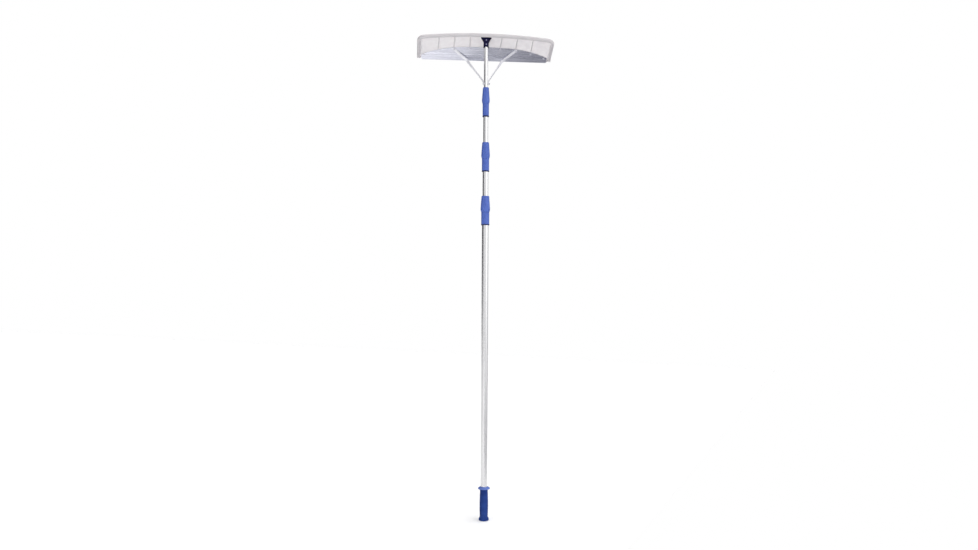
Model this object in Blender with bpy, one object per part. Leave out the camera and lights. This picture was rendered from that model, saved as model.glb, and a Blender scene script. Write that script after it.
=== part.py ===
"""Telescopic roof snow rake: a four-section twist-lock pole that carries a curved, ribbed blade.

Metres, +Z up. The pole stands along Z with its butt face at the origin. The blade runs along X
and reaches backwards, towards +Y, from the pole's top. Its hollow side faces down and forwards.
"""

import math

import bmesh
import bpy
from mathutils import Matrix, Vector

MM = 0.001
GAP = 0.3 * MM

# Pole: outside diameters from the grip section to the head section, and the wall they share.
TUBE_DIAMETERS = [30.0 * MM, 26.0 * MM, 22.0 * MM, 18.5 * MM]
TUBE_WALL = 1.2 * MM
TUBE_BOTTOMS = [12.0 * MM, 165.0 * MM, 315.0 * MM, 356.0 * MM]
HEAD_TUBE_TOP = 2224.0 * MM

# Twist locks: where each one's body starts, and the heights they share.
COLLAR_BOTTOMS = [1365.0 * MM, 1613.0 * MM, 1867.0 * MM]
COLLAR_BODY_HEIGHT = 59.5 * MM
COLLAR_NUT_HEIGHT = 76.0 * MM
COLLAR_BODY_OVER_TUBE = 7.6 * MM
COLLAR_BULGE_OVER_TUBE = 14.6 * MM
COLLAR_TOP_OVER_TUBE = 6.5 * MM
COLLAR_FOOT_RING = 0.5 * MM
COLLAR_FOOT_HEIGHT = 5.0 * MM
COLLAR_STOP = 4.0 * MM
SPIGOT_OVER_TUBE = 5.0 * MM
SPIGOT_HEIGHT = 38.0 * MM
COLLET_HEIGHT = 26.0 * MM
COLLET_FOOT = 6.0 * MM
COLLET_TIP_WALL = 1.3 * MM
COLLET_SLIT = math.radians(14)
FLUTES = 8
FLUTE_DEPTH = 1.0 * MM

# Grip on the lowest tube.
GRIP_RADIUS = 20.0 * MM
GRIP_HEEL_RADIUS = 23.5 * MM
GRIP_GUARD_RADIUS = 28.0 * MM
GRIP_TOP = 156.0 * MM
GRIP_GUARD_HEIGHT = 147.5 * MM

# Plugs: the butt plug's head, and the bushes at the sliding tubes' lower ends.
BUTT_PLUG_RADIUS = 16.5 * MM
BUTT_PLUG_HEAD = 8.5 * MM
BUTT_PLUG_DEPTH = 33.0 * MM
BUSH_HEAD = 6.0 * MM
BUSH_DEPTH = 17.0 * MM
BUSH_WALL = 2.5 * MM

# Blade section at the middle: top edge, crease and cutting edge as (Y, Z).
BLADE_HALF = 317.5 * MM
TOP_EDGE = Vector((-30.0 * MM, 2244.0 * MM))
CREASE = Vector((55.0 * MM, 2208.5 * MM))
CUTTING_EDGE = Vector((95.0 * MM, 2157.0 * MM))
TOP_EDGE_DROP = 18.0 * MM
CREASE_FALL = 0.6
CREASE_FALL_HALF = 286.0 * MM
CREASE_FALL_POWER = 3.0
SHELL_THICKNESS = 3.2 * MM
CORNER_RADIUS = 30.0 * MM
RIM_WIDTH = 17.0 * MM
RIM_HEIGHT = 9.5 * MM
RIB_PITCH = 73.0 * MM
RIB_WIDTH = 4.0 * MM
RIB_HEIGHT = 4.5 * MM
RIB_FLANK = 0.6 * MM

# Mesh rows down the wall and the facet, the ribs' height at the wall's rows, and the rim's section
# as (width from the panel, share of the rim's height).
WALL_ROWS = [0.0, 0.34, 0.67, 0.95, 1.0]
RIB_ROWS = [1.0, 1.0, 1.0, 1.0, 0.0]
FACET_ROWS = [0.5, 1.0]
RIM_PROFILE = [(1.6 * MM, 0.72), (4.5 * MM, 1.0), (12.0 * MM, 1.0), (15.5 * MM, 0.72), (17.0 * MM, 0.3)]

# Wear plate and what fastens it.
PLATE_HALF = 298.0 * MM
PLATE_THICKNESS = 1.5 * MM
PLATE_OVERHANG = 5.0 * MM
PLATE_BELOW_CREASE = 2.5 * MM
RIVET_BELOW_CREASE = 10.0 * MM
END_RIVET = 284.0 * MM
RIVET_RADIUS = 2.2 * MM
RIVET_HEAD = 4.6 * MM
RIVET_TAIL = 3.6 * MM
RIVET_TAIL_HEIGHT = 1.5 * MM

# Head bracket: a sleeve on the pole, a flare and a pad that lies under the blade's wall.
SLEEVE_RADIUS = 12.5 * MM
SLEEVE_BOTTOM = 2186.0 * MM
SLEEVE_ARCH = 5.0 * MM
PAD_THICKNESS = 5.0 * MM
PAD_HALF_WIDTH = 24.4 * MM
PAD_START = 19.0 * MM
PAD_SHOULDER = 27.0 * MM
PAD_WAIST_HALF = 11.0 * MM
PAD_WAIST = 50.0 * MM
PAD_TAIL_HALF = 8.5 * MM
PAD_END = 70.0 * MM
FLARE_BOTTOM = 2208.0 * MM
PAD_SCREWS = [(-14.0 * MM, 27.0 * MM), (14.0 * MM, 27.0 * MM), (0.0, 61.0 * MM)]
BRACKET_SCREW_HEIGHTS = [2200.5 * MM, 2220.0 * MM]
WEB_HALF = 3.6 * MM
WEB_RISE = 12.0 * MM

# Braces: flat strips from a bolt through the head tube to the blade.
BRACE_WIDTH = 12.0 * MM
BRACE_THICKNESS = 2.5 * MM
BRACE_BOLT_HEIGHT = 2022.0 * MM
BRACE_BEND = (84.0 * MM, 2.0 * MM, 16.0 * MM)
BRACE_FOOT = (146.0 * MM, 50.0 * MM)
BRACE_TAB = 9.0 * MM
BRACE_FOOT_RUN = 80.0 * MM
BRACE_TWIST_LENGTH = 80.0 * MM
LONGEST_STRAIGHT = 14.0 * MM

# Screws, bolts, nuts and the washer.
SCREW_RADIUS = 2.0 * MM
SCREW_HEAD = 3.2 * MM
BOLT_RADIUS = 2.5 * MM
BOLT_HEAD = 5.0 * MM
BOLT_TAIL = 7.5 * MM
POLE_BOLT_RADIUS = 3.0 * MM
POLE_BOLT_HEAD = 5.4 * MM
POLE_BOLT_TAIL = 7.0 * MM
M5_NUT_CORNER = 4.9 * MM
M5_NUT_HEIGHT = 4.0 * MM
M6_NUT_CORNER = 5.8 * MM
M6_NUT_HEIGHT = 4.2 * MM
WASHER_RADIUS = 5.8 * MM
WASHER_THICKNESS = 1.0 * MM


def clear_scene():
    for old in list(bpy.data.objects):
        bpy.data.objects.remove(old)


def make_material(name, colour, roughness, metallic, transmission=0.0):
    material = bpy.data.materials.new(name)
    material.use_nodes = True
    shader = material.node_tree.nodes["Principled BSDF"]
    shader.inputs["Base Color"].default_value = (*colour, 1.0)
    shader.inputs["Roughness"].default_value = roughness
    shader.inputs["Metallic"].default_value = metallic
    shader.inputs["Transmission Weight"].default_value = transmission
    material.diffuse_color = (*colour, 1.0)
    return material


def finish_mesh(bm, name, material, sharp_angle=35):
    bmesh.ops.recalc_face_normals(bm, faces=bm.faces)
    mesh = bpy.data.meshes.new(name)
    bm.to_mesh(mesh)
    bm.free()
    mesh.shade_smooth()
    mesh.set_sharp_from_angle(angle=math.radians(sharp_angle))
    mesh.materials.append(material)
    obj = bpy.data.objects.new(name, mesh)
    bpy.context.scene.collection.objects.link(obj)
    return obj


def add_turned(bm, profile, steps, angle=2 * math.pi, matrix=None):
    """Spins a closed outline of (radius, height) points about Z. Points on the axis merge."""
    loop = [bm.verts.new((radius, 0, height)) for radius, height in profile]
    edges = [bm.edges.new((loop[i - 1], loop[i])) for i in range(len(loop))]
    before = set(bm.verts) - set(loop)
    whole_turn = angle > 2 * math.pi - 1e-6
    start = None if whole_turn else bm.faces.new(loop)
    geometry = loop + edges + ([start] if start else [])
    bmesh.ops.spin(
        bm,
        geom=geometry,
        cent=(0, 0, 0),
        axis=(0, 0, 1),
        angle=angle,
        steps=steps,
        use_merge=whole_turn,
    )
    if start and not start.is_valid:
        bm.faces.new(loop)
    new = [vert for vert in bm.verts if vert not in before]
    bmesh.ops.remove_doubles(bm, verts=new, dist=1e-6)
    new = [vert for vert in bm.verts if vert not in before]
    if matrix:
        bmesh.ops.transform(bm, matrix=matrix, verts=new)


def make_turned(name, profile, steps, material, angle=2 * math.pi):
    bm = bmesh.new()
    add_turned(bm, profile, steps, angle)
    return finish_mesh(bm, name, material)


def make_set(name, profile, steps, places, hexagon=0.0):
    """Identical fasteners, one object at each place, which share one mesh.

    A hexagon radius turns the outside into a nut's six flats.
    """
    bm = bmesh.new()
    add_turned(bm, profile, steps)
    for vert in bm.verts:
        radius = math.hypot(vert.co.x, vert.co.y)
        if hexagon and radius > 0.99 * hexagon:
            turn = math.atan2(vert.co.y, vert.co.x) % math.radians(60)
            flat = math.cos(math.radians(30)) / math.cos(turn - math.radians(30))
            vert.co.xy *= flat
    first = finish_mesh(bm, f"{name}_1" if len(places) > 1 else name, steel)
    first.matrix_world = places[0]
    for number, place in enumerate(places[1:], 2):
        copy = bpy.data.objects.new(f"{name}_{number}", first.data)
        copy.matrix_world = place
        bpy.context.scene.collection.objects.link(copy)


def cut(target, cutter, operation="DIFFERENCE"):
    cutter.hide_render = True
    cutter.display_type = "WIRE"
    boolean = target.modifiers.new(cutter.name, "BOOLEAN")
    boolean.operation = operation
    boolean.solver = "EXACT"
    boolean.object = cutter


def rod_outline(radius, low, high):
    return [(0, low), (radius, low), (radius, high), (0, high)]


def make_cutter(name, radius, reach, matrices, steps=12):
    bm = bmesh.new()
    for matrix in matrices:
        add_turned(bm, rod_outline(radius, -reach, reach), steps, matrix=matrix)
    return finish_mesh(bm, name, cutter_material)


def tube_top(index):
    if index == len(TUBE_DIAMETERS) - 1:
        return HEAD_TUBE_TOP
    return COLLAR_BOTTOMS[index] + COLLAR_BODY_HEIGHT - COLLAR_STOP


def make_tube(index):
    outer = TUBE_DIAMETERS[index] / 2
    inner = outer - TUBE_WALL
    low = TUBE_BOTTOMS[index]
    high = tube_top(index)
    profile = [(inner, low), (outer, low), (outer, high), (inner, high)]
    return make_turned(f"tube_{index + 1}", profile, 24, aluminium)


def make_end_bush(index):
    """Plug in a sliding tube's lower end, which centres it in the next tube down."""
    flange = TUBE_DIAMETERS[index - 1] / 2 - TUBE_WALL - GAP
    spigot = TUBE_DIAMETERS[index] / 2 - TUBE_WALL - GAP
    low = TUBE_BOTTOMS[index] - BUSH_HEAD
    shoulder = TUBE_BOTTOMS[index] - GAP
    top = TUBE_BOTTOMS[index] + BUSH_DEPTH
    bore = spigot - BUSH_WALL
    profile = [
        (bore, low),
        (flange, low),
        (flange, shoulder),
        (spigot, shoulder),
        (spigot, top),
        (bore, top),
    ]
    return make_turned(f"end_bush_{index + 1}", profile, 20, dark_plastic)


def make_collar(index):
    """One twist lock: a body fixed on the outer tube, a split collet and the nut that closes it."""
    outer_tube = TUBE_DIAMETERS[index] / 2
    inner_tube = TUBE_DIAMETERS[index + 1] / 2
    body = outer_tube + COLLAR_BODY_OVER_TUBE / 2
    spigot = inner_tube + SPIGOT_OVER_TUBE / 2
    bore = inner_tube + GAP
    low = COLLAR_BOTTOMS[index]
    high = low + COLLAR_BODY_HEIGHT
    spigot_top = high + SPIGOT_HEIGHT
    body_profile = [
        (outer_tube + GAP, low),
        (body + COLLAR_FOOT_RING, low),
        (body + COLLAR_FOOT_RING, low + COLLAR_FOOT_HEIGHT - COLLAR_FOOT_RING),
        (body, low + COLLAR_FOOT_HEIGHT),
        (body, high),
        (spigot, high),
        (spigot, spigot_top),
        (bore, spigot_top),
        (bore, high - COLLAR_STOP + GAP),
        (outer_tube + GAP, high - COLLAR_STOP + GAP),
    ]
    make_turned(f"collar_{index + 1}_body", body_profile, 24, blue_plastic)

    collet_low = spigot_top + GAP
    collet_high = collet_low + COLLET_HEIGHT
    collet_profile = [
        (bore, collet_low),
        (spigot - 0.2 * MM, collet_low),
        (spigot - 0.2 * MM, collet_low + COLLET_FOOT),
        (bore + COLLET_TIP_WALL, collet_high),
        (bore, collet_high),
    ]
    make_turned(
        f"collar_{index + 1}_collet",
        collet_profile,
        20,
        white_plastic,
        angle=2 * math.pi - COLLET_SLIT,
    )

    nut_low = high + GAP
    nut_high = high + COLLAR_NUT_HEIGHT
    bulge = outer_tube + COLLAR_BULGE_OVER_TUBE / 2
    top = outer_tube + COLLAR_TOP_OVER_TUBE / 2
    wide = spigot + 0.4 * MM
    cone_low = collet_low + COLLET_FOOT
    nut_profile = [
        (wide, nut_low),
        (body, nut_low),
        (bulge - 0.9 * MM, nut_low + 8 * MM),
        (bulge, nut_low + 12 * MM),
        (bulge - 0.6 * MM, nut_low + 19 * MM),
        (top + 0.4 * MM, nut_high - 7 * MM),
        (top - 0.8 * MM, nut_high),
        (bore + 0.2 * MM, nut_high),
        (bore + 0.2 * MM, collet_high + GAP),
        (bore + COLLET_TIP_WALL + 0.5 * MM, collet_high + GAP),
        (wide, cone_low + 0.4 * MM),
    ]
    bm = bmesh.new()
    add_turned(bm, nut_profile, FLUTES * 4)
    flute_low = nut_low + 9 * MM
    flute_high = nut_high - 6 * MM
    for vert in bm.verts:
        radius = math.hypot(vert.co.x, vert.co.y)
        if radius > top and flute_low < vert.co.z < flute_high:
            turn = math.atan2(vert.co.y, vert.co.x)
            hollow = FLUTE_DEPTH / 2 * (1 - math.cos(FLUTES * turn))
            vert.co.xy *= (radius - hollow) / radius
    finish_mesh(bm, f"collar_{index + 1}_nut", blue_plastic)


def make_grip():
    """Moulded sleeve with a heel at the butt and a guard ring where the hand stops."""
    bore = TUBE_DIAMETERS[0] / 2 + GAP
    heel_bore = BUTT_PLUG_RADIUS + GAP
    step = BUTT_PLUG_HEAD + 0.5 * MM
    profile = [
        (heel_bore, 0.0),
        (GRIP_HEEL_RADIUS - 1.5 * MM, 0.0),
        (GRIP_HEEL_RADIUS, 3 * MM),
        (GRIP_HEEL_RADIUS - 0.8 * MM, 10 * MM),
        (GRIP_RADIUS - 0.5 * MM, 18 * MM),
        (GRIP_RADIUS + 0.3 * MM, 70 * MM),
        (GRIP_RADIUS - 1.2 * MM, GRIP_GUARD_HEIGHT - 7.5 * MM),
        (GRIP_GUARD_RADIUS - 1.5 * MM, GRIP_GUARD_HEIGHT - 3 * MM),
        (GRIP_GUARD_RADIUS, GRIP_GUARD_HEIGHT),
        (GRIP_GUARD_RADIUS - 1.5 * MM, GRIP_GUARD_HEIGHT + 2.5 * MM),
        (bore + 1.5 * MM, GRIP_TOP),
        (bore, GRIP_TOP),
        (bore, step),
        (heel_bore, step),
    ]
    return make_turned("grip_sleeve", profile, 28, grip_plastic)


def make_butt_plug():
    spigot = TUBE_DIAMETERS[0] / 2 - TUBE_WALL - GAP
    shoulder = TUBE_BOTTOMS[0] - GAP
    profile = [
        (0, 0),
        (BUTT_PLUG_RADIUS, 0),
        (BUTT_PLUG_RADIUS, BUTT_PLUG_HEAD),
        (TUBE_DIAMETERS[0] / 2, BUTT_PLUG_HEAD),
        (TUBE_DIAMETERS[0] / 2, shoulder),
        (spigot, shoulder),
        (spigot, BUTT_PLUG_DEPTH),
        (0, BUTT_PLUG_DEPTH),
    ]
    return make_turned("butt_plug", profile, 24, dark_plastic)


def crease_height(x):
    """Distance along the flat lower facet from the cutting edge up to the crease."""
    middle = (CREASE - CUTTING_EDGE).length
    return middle * (1 - CREASE_FALL * (abs(x) / CREASE_FALL_HALF) ** CREASE_FALL_POWER)


FACET_UP = (CREASE - CUTTING_EDGE).normalized()
FACET_FRONT = Vector((-FACET_UP.y, FACET_UP.x))


def facet_point(x, up, front):
    """A point given by its distance up the lower facet and in front of the shell's middle surface."""
    place = CUTTING_EDGE + FACET_UP * up + FACET_FRONT * front
    return Vector((x, place.x, place.y))


def wall_ends(x):
    top = TOP_EDGE - Vector((0, TOP_EDGE_DROP * (x / BLADE_HALF) ** 2))
    return top, CUTTING_EDGE + FACET_UP * crease_height(x)


def wall_length(x):
    top, crease = wall_ends(x)
    return (crease - top).length


def blade_point(x, distance):
    """Middle surface of the shell, by the distance from the top edge along the section."""
    top, crease = wall_ends(x)
    wall = (crease - top).length
    if distance <= wall:
        place = top.lerp(crease, distance / wall)
    else:
        place = crease - FACET_UP * (distance - wall)
    return Vector((x, place.x, place.y))


def blade_normal(x, distance):
    """Unit normal of the middle surface, towards the back."""
    step = 1 * MM
    across = blade_point(x + step, distance) - blade_point(x - step, distance)
    along = blade_point(x, distance + step) - blade_point(x, distance - step)
    return along.cross(across).normalized() * -1


def rib_places():
    return [k * RIB_PITCH for k in (-3, -2, -1, 1, 2, 3)]


def blade_columns():
    """Stations across the blade: rib flanks, rounded corners and plain stretches between them."""
    inner = BLADE_HALF - RIM_WIDTH
    corner = CORNER_RADIUS - RIM_WIDTH
    stations = {0.0: 0.0}
    for rib in rib_places():
        half = RIB_WIDTH / 2
        stations.update({rib - half - RIB_FLANK: 0.0, rib + half + RIB_FLANK: 0.0})
        stations.update({rib - half: 1.0, rib + half: 1.0})
    for k in range(-3, 3):
        stations[(k + 0.5) * RIB_PITCH] = 0.0
    for side in (-1, 1):
        stations[side * (3.5 * RIB_PITCH)] = 0.0
        for angle in (0, 30, 60, 90):
            stations[side * (inner - corner + corner * math.sin(math.radians(angle)))] = 0.0
    return sorted(stations.items())


def column_start(x):
    inner = BLADE_HALF - RIM_WIDTH
    corner = CORNER_RADIUS - RIM_WIDTH
    into = max(abs(x) - (inner - corner), 0.0)
    return RIM_WIDTH + corner - math.sqrt(max(corner**2 - into**2, 0.0))


def column_distances(x, start):
    wall = wall_length(x)
    down = [start + (wall - start) * part for part in WALL_ROWS]
    return down + [wall + crease_height(x) * part for part in FACET_ROWS]


def rim_rows():
    """How much of the rim's height is left at each row of the side rims."""
    return [1.0] * len(WALL_ROWS) + [0.75, 0.12]


def make_blade():
    columns = blade_columns()
    last_row = len(WALL_ROWS) + len(FACET_ROWS) - 1
    bm = bmesh.new()

    def add_pair(x, distance, height):
        middle = blade_point(x, distance)
        normal = blade_normal(x, distance)
        front = bm.verts.new(middle - normal * (SHELL_THICKNESS / 2 + height))
        back = bm.verts.new(middle + normal * SHELL_THICKNESS / 2)
        return front, back

    grid = []
    for x, on_rib in columns:
        distances = column_distances(x, column_start(x))
        ribs = RIB_ROWS + [0.0] * len(FACET_ROWS)
        grid.append(
            [add_pair(x, place, RIB_HEIGHT * on_rib * rib) for place, rib in zip(distances, ribs)]
        )

    # The rim follows the panel's left, top and right edges as a strip of rings.
    strip = [(grid[0][row], -1, row) for row in range(last_row, 0, -1)]
    strip += [(column[0], 0, index) for index, column in enumerate(grid)]
    strip += [(grid[-1][row], 1, row) for row in range(1, last_row + 1)]
    corner_x = BLADE_HALF - CORNER_RADIUS
    rings = [[pair for pair, _, _ in strip]]
    for width, share in RIM_PROFILE:
        ring = []
        for _, side, index in strip:
            if side:
                x = side * (BLADE_HALF - RIM_WIDTH + width)
                distance = column_distances(x, CORNER_RADIUS)[index]
                height = RIM_HEIGHT * share * rim_rows()[index]
            else:
                base_x = columns[index][0]
                base = column_start(base_x)
                direction = Vector((0, -1))
                if abs(base_x) > corner_x:
                    centre = Vector((math.copysign(corner_x, base_x), CORNER_RADIUS))
                    direction = (Vector((base_x, base)) - centre).normalized()
                x = base_x + direction.x * width
                distance = base + direction.y * width
                height = RIM_HEIGHT * share
            ring.append(add_pair(x, distance, height))
        rings.append(ring)

    def add_faces(a, b, c, d):
        bm.faces.new((a[0], b[0], c[0], d[0]))
        bm.faces.new((a[1], d[1], c[1], b[1]))

    for left, right in zip(grid, grid[1:]):
        for row in range(last_row):
            add_faces(left[row], right[row], right[row + 1], left[row + 1])
    for inner, outer in zip(rings, rings[1:]):
        for k in range(len(inner) - 1):
            add_faces(outer[k], outer[k + 1], inner[k + 1], inner[k])

    lower = [ring[0] for ring in reversed(rings)]
    lower += [column[last_row] for column in grid[1:-1]]
    lower += [ring[-1] for ring in rings]
    for pair, following in zip(lower, lower[1:]):
        bm.faces.new((pair[0], pair[1], following[1], following[0]))
    for pair, following in zip(rings[-1], rings[-1][1:]):
        bm.faces.new((pair[0], following[0], following[1], pair[1]))
    return finish_mesh(bm, "blade_shell", poly, 25)


def plate_front():
    """Distance from the shell's middle surface to the wear plate's front face."""
    return SHELL_THICKNESS / 2 + GAP + PLATE_THICKNESS


def make_wear_plate():
    """Flat steel-coloured segment: straight cutting edge, arched top edge under the crease."""
    stations = [PLATE_HALF * (2 * k / 28 - 1) for k in range(29)]
    outline = [(x, crease_height(x) - PLATE_BELOW_CREASE) for x in stations]
    bm = bmesh.new()
    corners = [(-PLATE_HALF, -PLATE_OVERHANG)] + outline + [(PLATE_HALF, -PLATE_OVERHANG)]
    front = plate_front()
    face = bm.faces.new([bm.verts.new(facet_point(x, up, front)) for x, up in corners])
    grown = bmesh.ops.extrude_face_region(bm, geom=[face])
    moved = [item for item in grown["geom"] if isinstance(item, bmesh.types.BMVert)]
    shift = facet_point(0, 0, 0) - facet_point(0, 0, PLATE_THICKNESS)
    bmesh.ops.translate(bm, vec=shift, verts=moved)
    return finish_mesh(bm, "wear_plate", brushed)


def facing(place, direction):
    """Matrix that puts Z along the direction at the place."""
    turn = Vector(direction).to_track_quat("Z", "Y").to_matrix().to_4x4()
    return Matrix.Translation(place) @ turn


def facet_direction():
    return facet_point(0, 0, 1) - facet_point(0, 0, 0)


def rivet_matrices():
    """One rivet at the foot of each rib that has no brace on it, and one towards each end."""
    on_ribs = [k * RIB_PITCH for k in (-3, -1, 0, 1, 3)]
    stations = [-END_RIVET] + on_ribs + [END_RIVET]
    places = [(x, crease_height(x) - RIVET_BELOW_CREASE) for x in stations]
    return [facing(facet_point(x, up, 0), facet_direction()) for x, up in places]


def foot_matrices():
    places = [facet_point(side * BRACE_FOOT[0], BRACE_FOOT[1], 0) for side in (-1, 1)]
    return [facing(place, facet_direction()) for place in places]


def domed_fastener(shank, head, head_height, seat, end):
    """Shank from the end up to the seat, with a domed head above the seat."""
    return [
        (0, end),
        (shank, end),
        (shank, seat),
        (head, seat),
        (head, seat + 0.35 * head_height),
        (head * 0.62, seat + head_height),
        (0, seat + head_height),
    ]


def make_rivets():
    seat = plate_front() + GAP
    tail = -SHELL_THICKNESS / 2 - GAP
    end = tail - RIVET_TAIL_HEIGHT
    profile = domed_fastener(RIVET_RADIUS, RIVET_HEAD, 1.6 * MM, seat, end)
    profile[1:2] = [(RIVET_TAIL, end), (RIVET_TAIL, tail), (RIVET_RADIUS, tail)]
    make_set("plate_rivet", profile, 10, rivet_matrices())


def ring_outline(bore, outside, low, high):
    return [(bore, low), (outside, low), (outside, high), (bore, high)]


def make_foot_fasteners():
    seat = plate_front() + GAP + BRACE_THICKNESS + GAP
    end = -SHELL_THICKNESS / 2 - BOLT_TAIL
    nut_high = -SHELL_THICKNESS / 2 - GAP
    bolt = domed_fastener(BOLT_RADIUS, BOLT_HEAD, 2.6 * MM, seat, end)
    make_set("brace_foot_bolt", bolt, 10, foot_matrices())
    nut = ring_outline(BOLT_RADIUS + GAP, M5_NUT_CORNER, nut_high - M5_NUT_HEIGHT, nut_high)
    make_set("brace_foot_nut", nut, 12, foot_matrices(), M5_NUT_CORNER)


def wall_frame(distance, x=0.0):
    """Matrix on the wall's middle surface: X across, Y down the section, Z towards the front."""
    top, crease = wall_ends(0)
    down = (crease - top).normalized()
    along = Vector((0, down.x, down.y))
    across = Vector((1, 0, 0))
    out = across.cross(along)
    place = blade_point(0, distance) + across * x
    turn = Matrix((across, along, out)).transposed().to_4x4()
    return Matrix.Translation(place) @ turn


def wall_front_sign():
    """Which way the wall frame's Z points from the shell: +1 towards the hollow side."""
    out = wall_frame(0).to_3x3() @ Vector((0, 0, 1))
    return 1 if out.z < 0 else -1


def pad_screw_matrices():
    """Frames on the wall with Z towards the back, where the heads of the pad's screws are."""
    places = []
    for x, distance in PAD_SCREWS:
        frame = wall_frame(distance, x)
        back = frame.to_3x3() @ Vector((0, 0, -wall_front_sign()))
        places.append(facing(frame.translation, back))
    return places


def make_pad_screws():
    seat = SHELL_THICKNESS / 2 + GAP
    tip = -(SHELL_THICKNESS / 2 + GAP + PAD_THICKNESS - 1 * MM)
    screw = domed_fastener(BOLT_RADIUS, BOLT_HEAD, 2.4 * MM, seat, tip)
    make_set("pad_screw", screw, 10, pad_screw_matrices())


def add_prism(bm, outline, direction, depth):
    """Extrudes a flat outline of 3D points by the depth along the direction."""
    face = bm.faces.new([bm.verts.new(point) for point in outline])
    grown = bmesh.ops.extrude_face_region(bm, geom=[face])
    moved = [item for item in grown["geom"] if isinstance(item, bmesh.types.BMVert)]
    bmesh.ops.translate(bm, vec=Vector(direction) * depth, verts=moved)


def make_bracket():
    sign = wall_front_sign()
    near = sign * (SHELL_THICKNESS / 2 + GAP)
    far = sign * (SHELL_THICKNESS / 2 + GAP + PAD_THICKNESS)
    frame = wall_frame(0)
    half = PAD_HALF_WIDTH

    def on_pad(x, distance, depth):
        return frame @ Vector((x, distance, depth))

    bm = bmesh.new()
    right = [
        (half, PAD_START),
        (half, PAD_SHOULDER),
        (PAD_WAIST_HALF, PAD_WAIST),
        (PAD_TAIL_HALF, PAD_END),
    ]
    corners = right + [(-x, y) for x, y in reversed(right)]
    outward = (on_pad(0, 0, far) - on_pad(0, 0, near)).normalized()
    add_prism(bm, [on_pad(x, y, near) for x, y in corners], outward, PAD_THICKNESS)
    bracket = finish_mesh(bm, "head_bracket", navy)

    # Sleeve: its lower edge arches up at the front and the back, and leaves a tip on each side.
    # Its top is cut on the pad's slope, in the middle of the pad's thickness.
    level = on_pad(0, PAD_START, (near + far) / 2)
    slope = (on_pad(0, 1, 0) - on_pad(0, 0, 0)).normalized()

    def pad_level(y):
        return level.z + (y - level.y) * slope.z / slope.y

    sleeve = bmesh.new()
    add_turned(sleeve, rod_outline(SLEEVE_RADIUS, SLEEVE_BOTTOM, HEAD_TUBE_TOP), 24)
    for vert in sleeve.verts:
        if vert.co.z > SLEEVE_BOTTOM + 1 * MM:
            vert.co.z = pad_level(vert.co.y)
            continue
        turn = math.atan2(vert.co.y, vert.co.x)
        radius = math.hypot(vert.co.x, vert.co.y)
        vert.co.z += SLEEVE_ARCH * (math.sin(turn) ** 2 if radius > 1 * MM else 1.0)
    cut(bracket, finish_mesh(sleeve, "sleeve_form", cutter_material), "UNION")

    # Flare: a wedge that widens from the sleeve to the pad's full width.
    flare = bmesh.new()
    front_y = -SLEEVE_RADIUS + 0.2 * MM
    side = SLEEVE_RADIUS - 1.0 * MM
    wide = half - 1.2 * MM
    outline = [
        (-side, front_y, FLARE_BOTTOM),
        (side, front_y, FLARE_BOTTOM),
        (wide, front_y, pad_level(front_y)),
        (-wide, front_y, pad_level(front_y)),
    ]
    add_prism(flare, outline, slope, 6 * MM)
    cut(bracket, finish_mesh(flare, "flare_form", cutter_material), "UNION")

    # Web between the sleeve's back and the pad's far end.
    web = bmesh.new()
    tip = on_pad(0, PAD_END - 2 * MM, far * 0.8)
    root = on_pad(0, PAD_START + 20 * MM, far * 0.8)
    outline = [
        (-WEB_HALF, SLEEVE_RADIUS - 2 * MM, SLEEVE_BOTTOM + WEB_RISE),
        (-WEB_HALF, SLEEVE_RADIUS + 1 * MM, SLEEVE_BOTTOM + WEB_RISE),
        (-WEB_HALF, tip.y, tip.z),
        (-WEB_HALF, root.y, root.z),
    ]
    add_prism(web, outline, (1, 0, 0), 2 * WEB_HALF)
    cut(bracket, finish_mesh(web, "web_form", cutter_material), "UNION")

    bore = TUBE_DIAMETERS[3] / 2 + GAP
    middle = Matrix.Translation((0, 0, HEAD_TUBE_TOP))
    cut(bracket, make_cutter("sleeve_bore_cutter", bore, 80 * MM, [middle], 24))
    cut(bracket, make_cutter("pad_hole_cutter", BOLT_RADIUS + GAP, 6.4 * MM, pad_screw_matrices(), 10))
    cut(bracket, screw_cutter("bracket_screw_cutter"))


def screw_matrices():
    """Frames with Z towards the front, on the pole's axis."""
    return [facing((0, 0, height), (0, -1, 0)) for height in BRACKET_SCREW_HEIGHTS]


def screw_cutter(name):
    """Holes through the front of the sleeve and the tube's front wall only."""
    bm = bmesh.new()
    for where in screw_matrices():
        outline = rod_outline(SCREW_RADIUS + GAP, 2 * MM, 30 * MM)
        add_turned(bm, outline, 12, matrix=where)
    return finish_mesh(bm, name, cutter_material)


def make_bracket_screws():
    screw = domed_fastener(SCREW_RADIUS, SCREW_HEAD, 1.8 * MM, SLEEVE_RADIUS + GAP, 4 * MM)
    make_set("bracket_screw", screw, 10, screw_matrices())


def rounded_route(points, radii, pieces=4):
    """Polyline through the points, rounded at its corners, with no long straight step in it."""
    route = [points[0]]
    for before, corner, after, radius in zip(points, points[1:], points[2:], radii):
        start = corner + (before - corner).normalized() * radius
        end = corner + (after - corner).normalized() * radius
        for k in range(pieces + 1):
            part = k / pieces
            low = start.lerp(corner, part)
            route.append(low.lerp(corner.lerp(end, part), part))
    route.append(points[-1])
    filled = [route[0]]
    for start, end in zip(route, route[1:]):
        steps = max(1, round((end - start).length / LONGEST_STRAIGHT))
        filled += [start.lerp(end, k / steps) for k in range(1, steps + 1)]
    return filled


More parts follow.
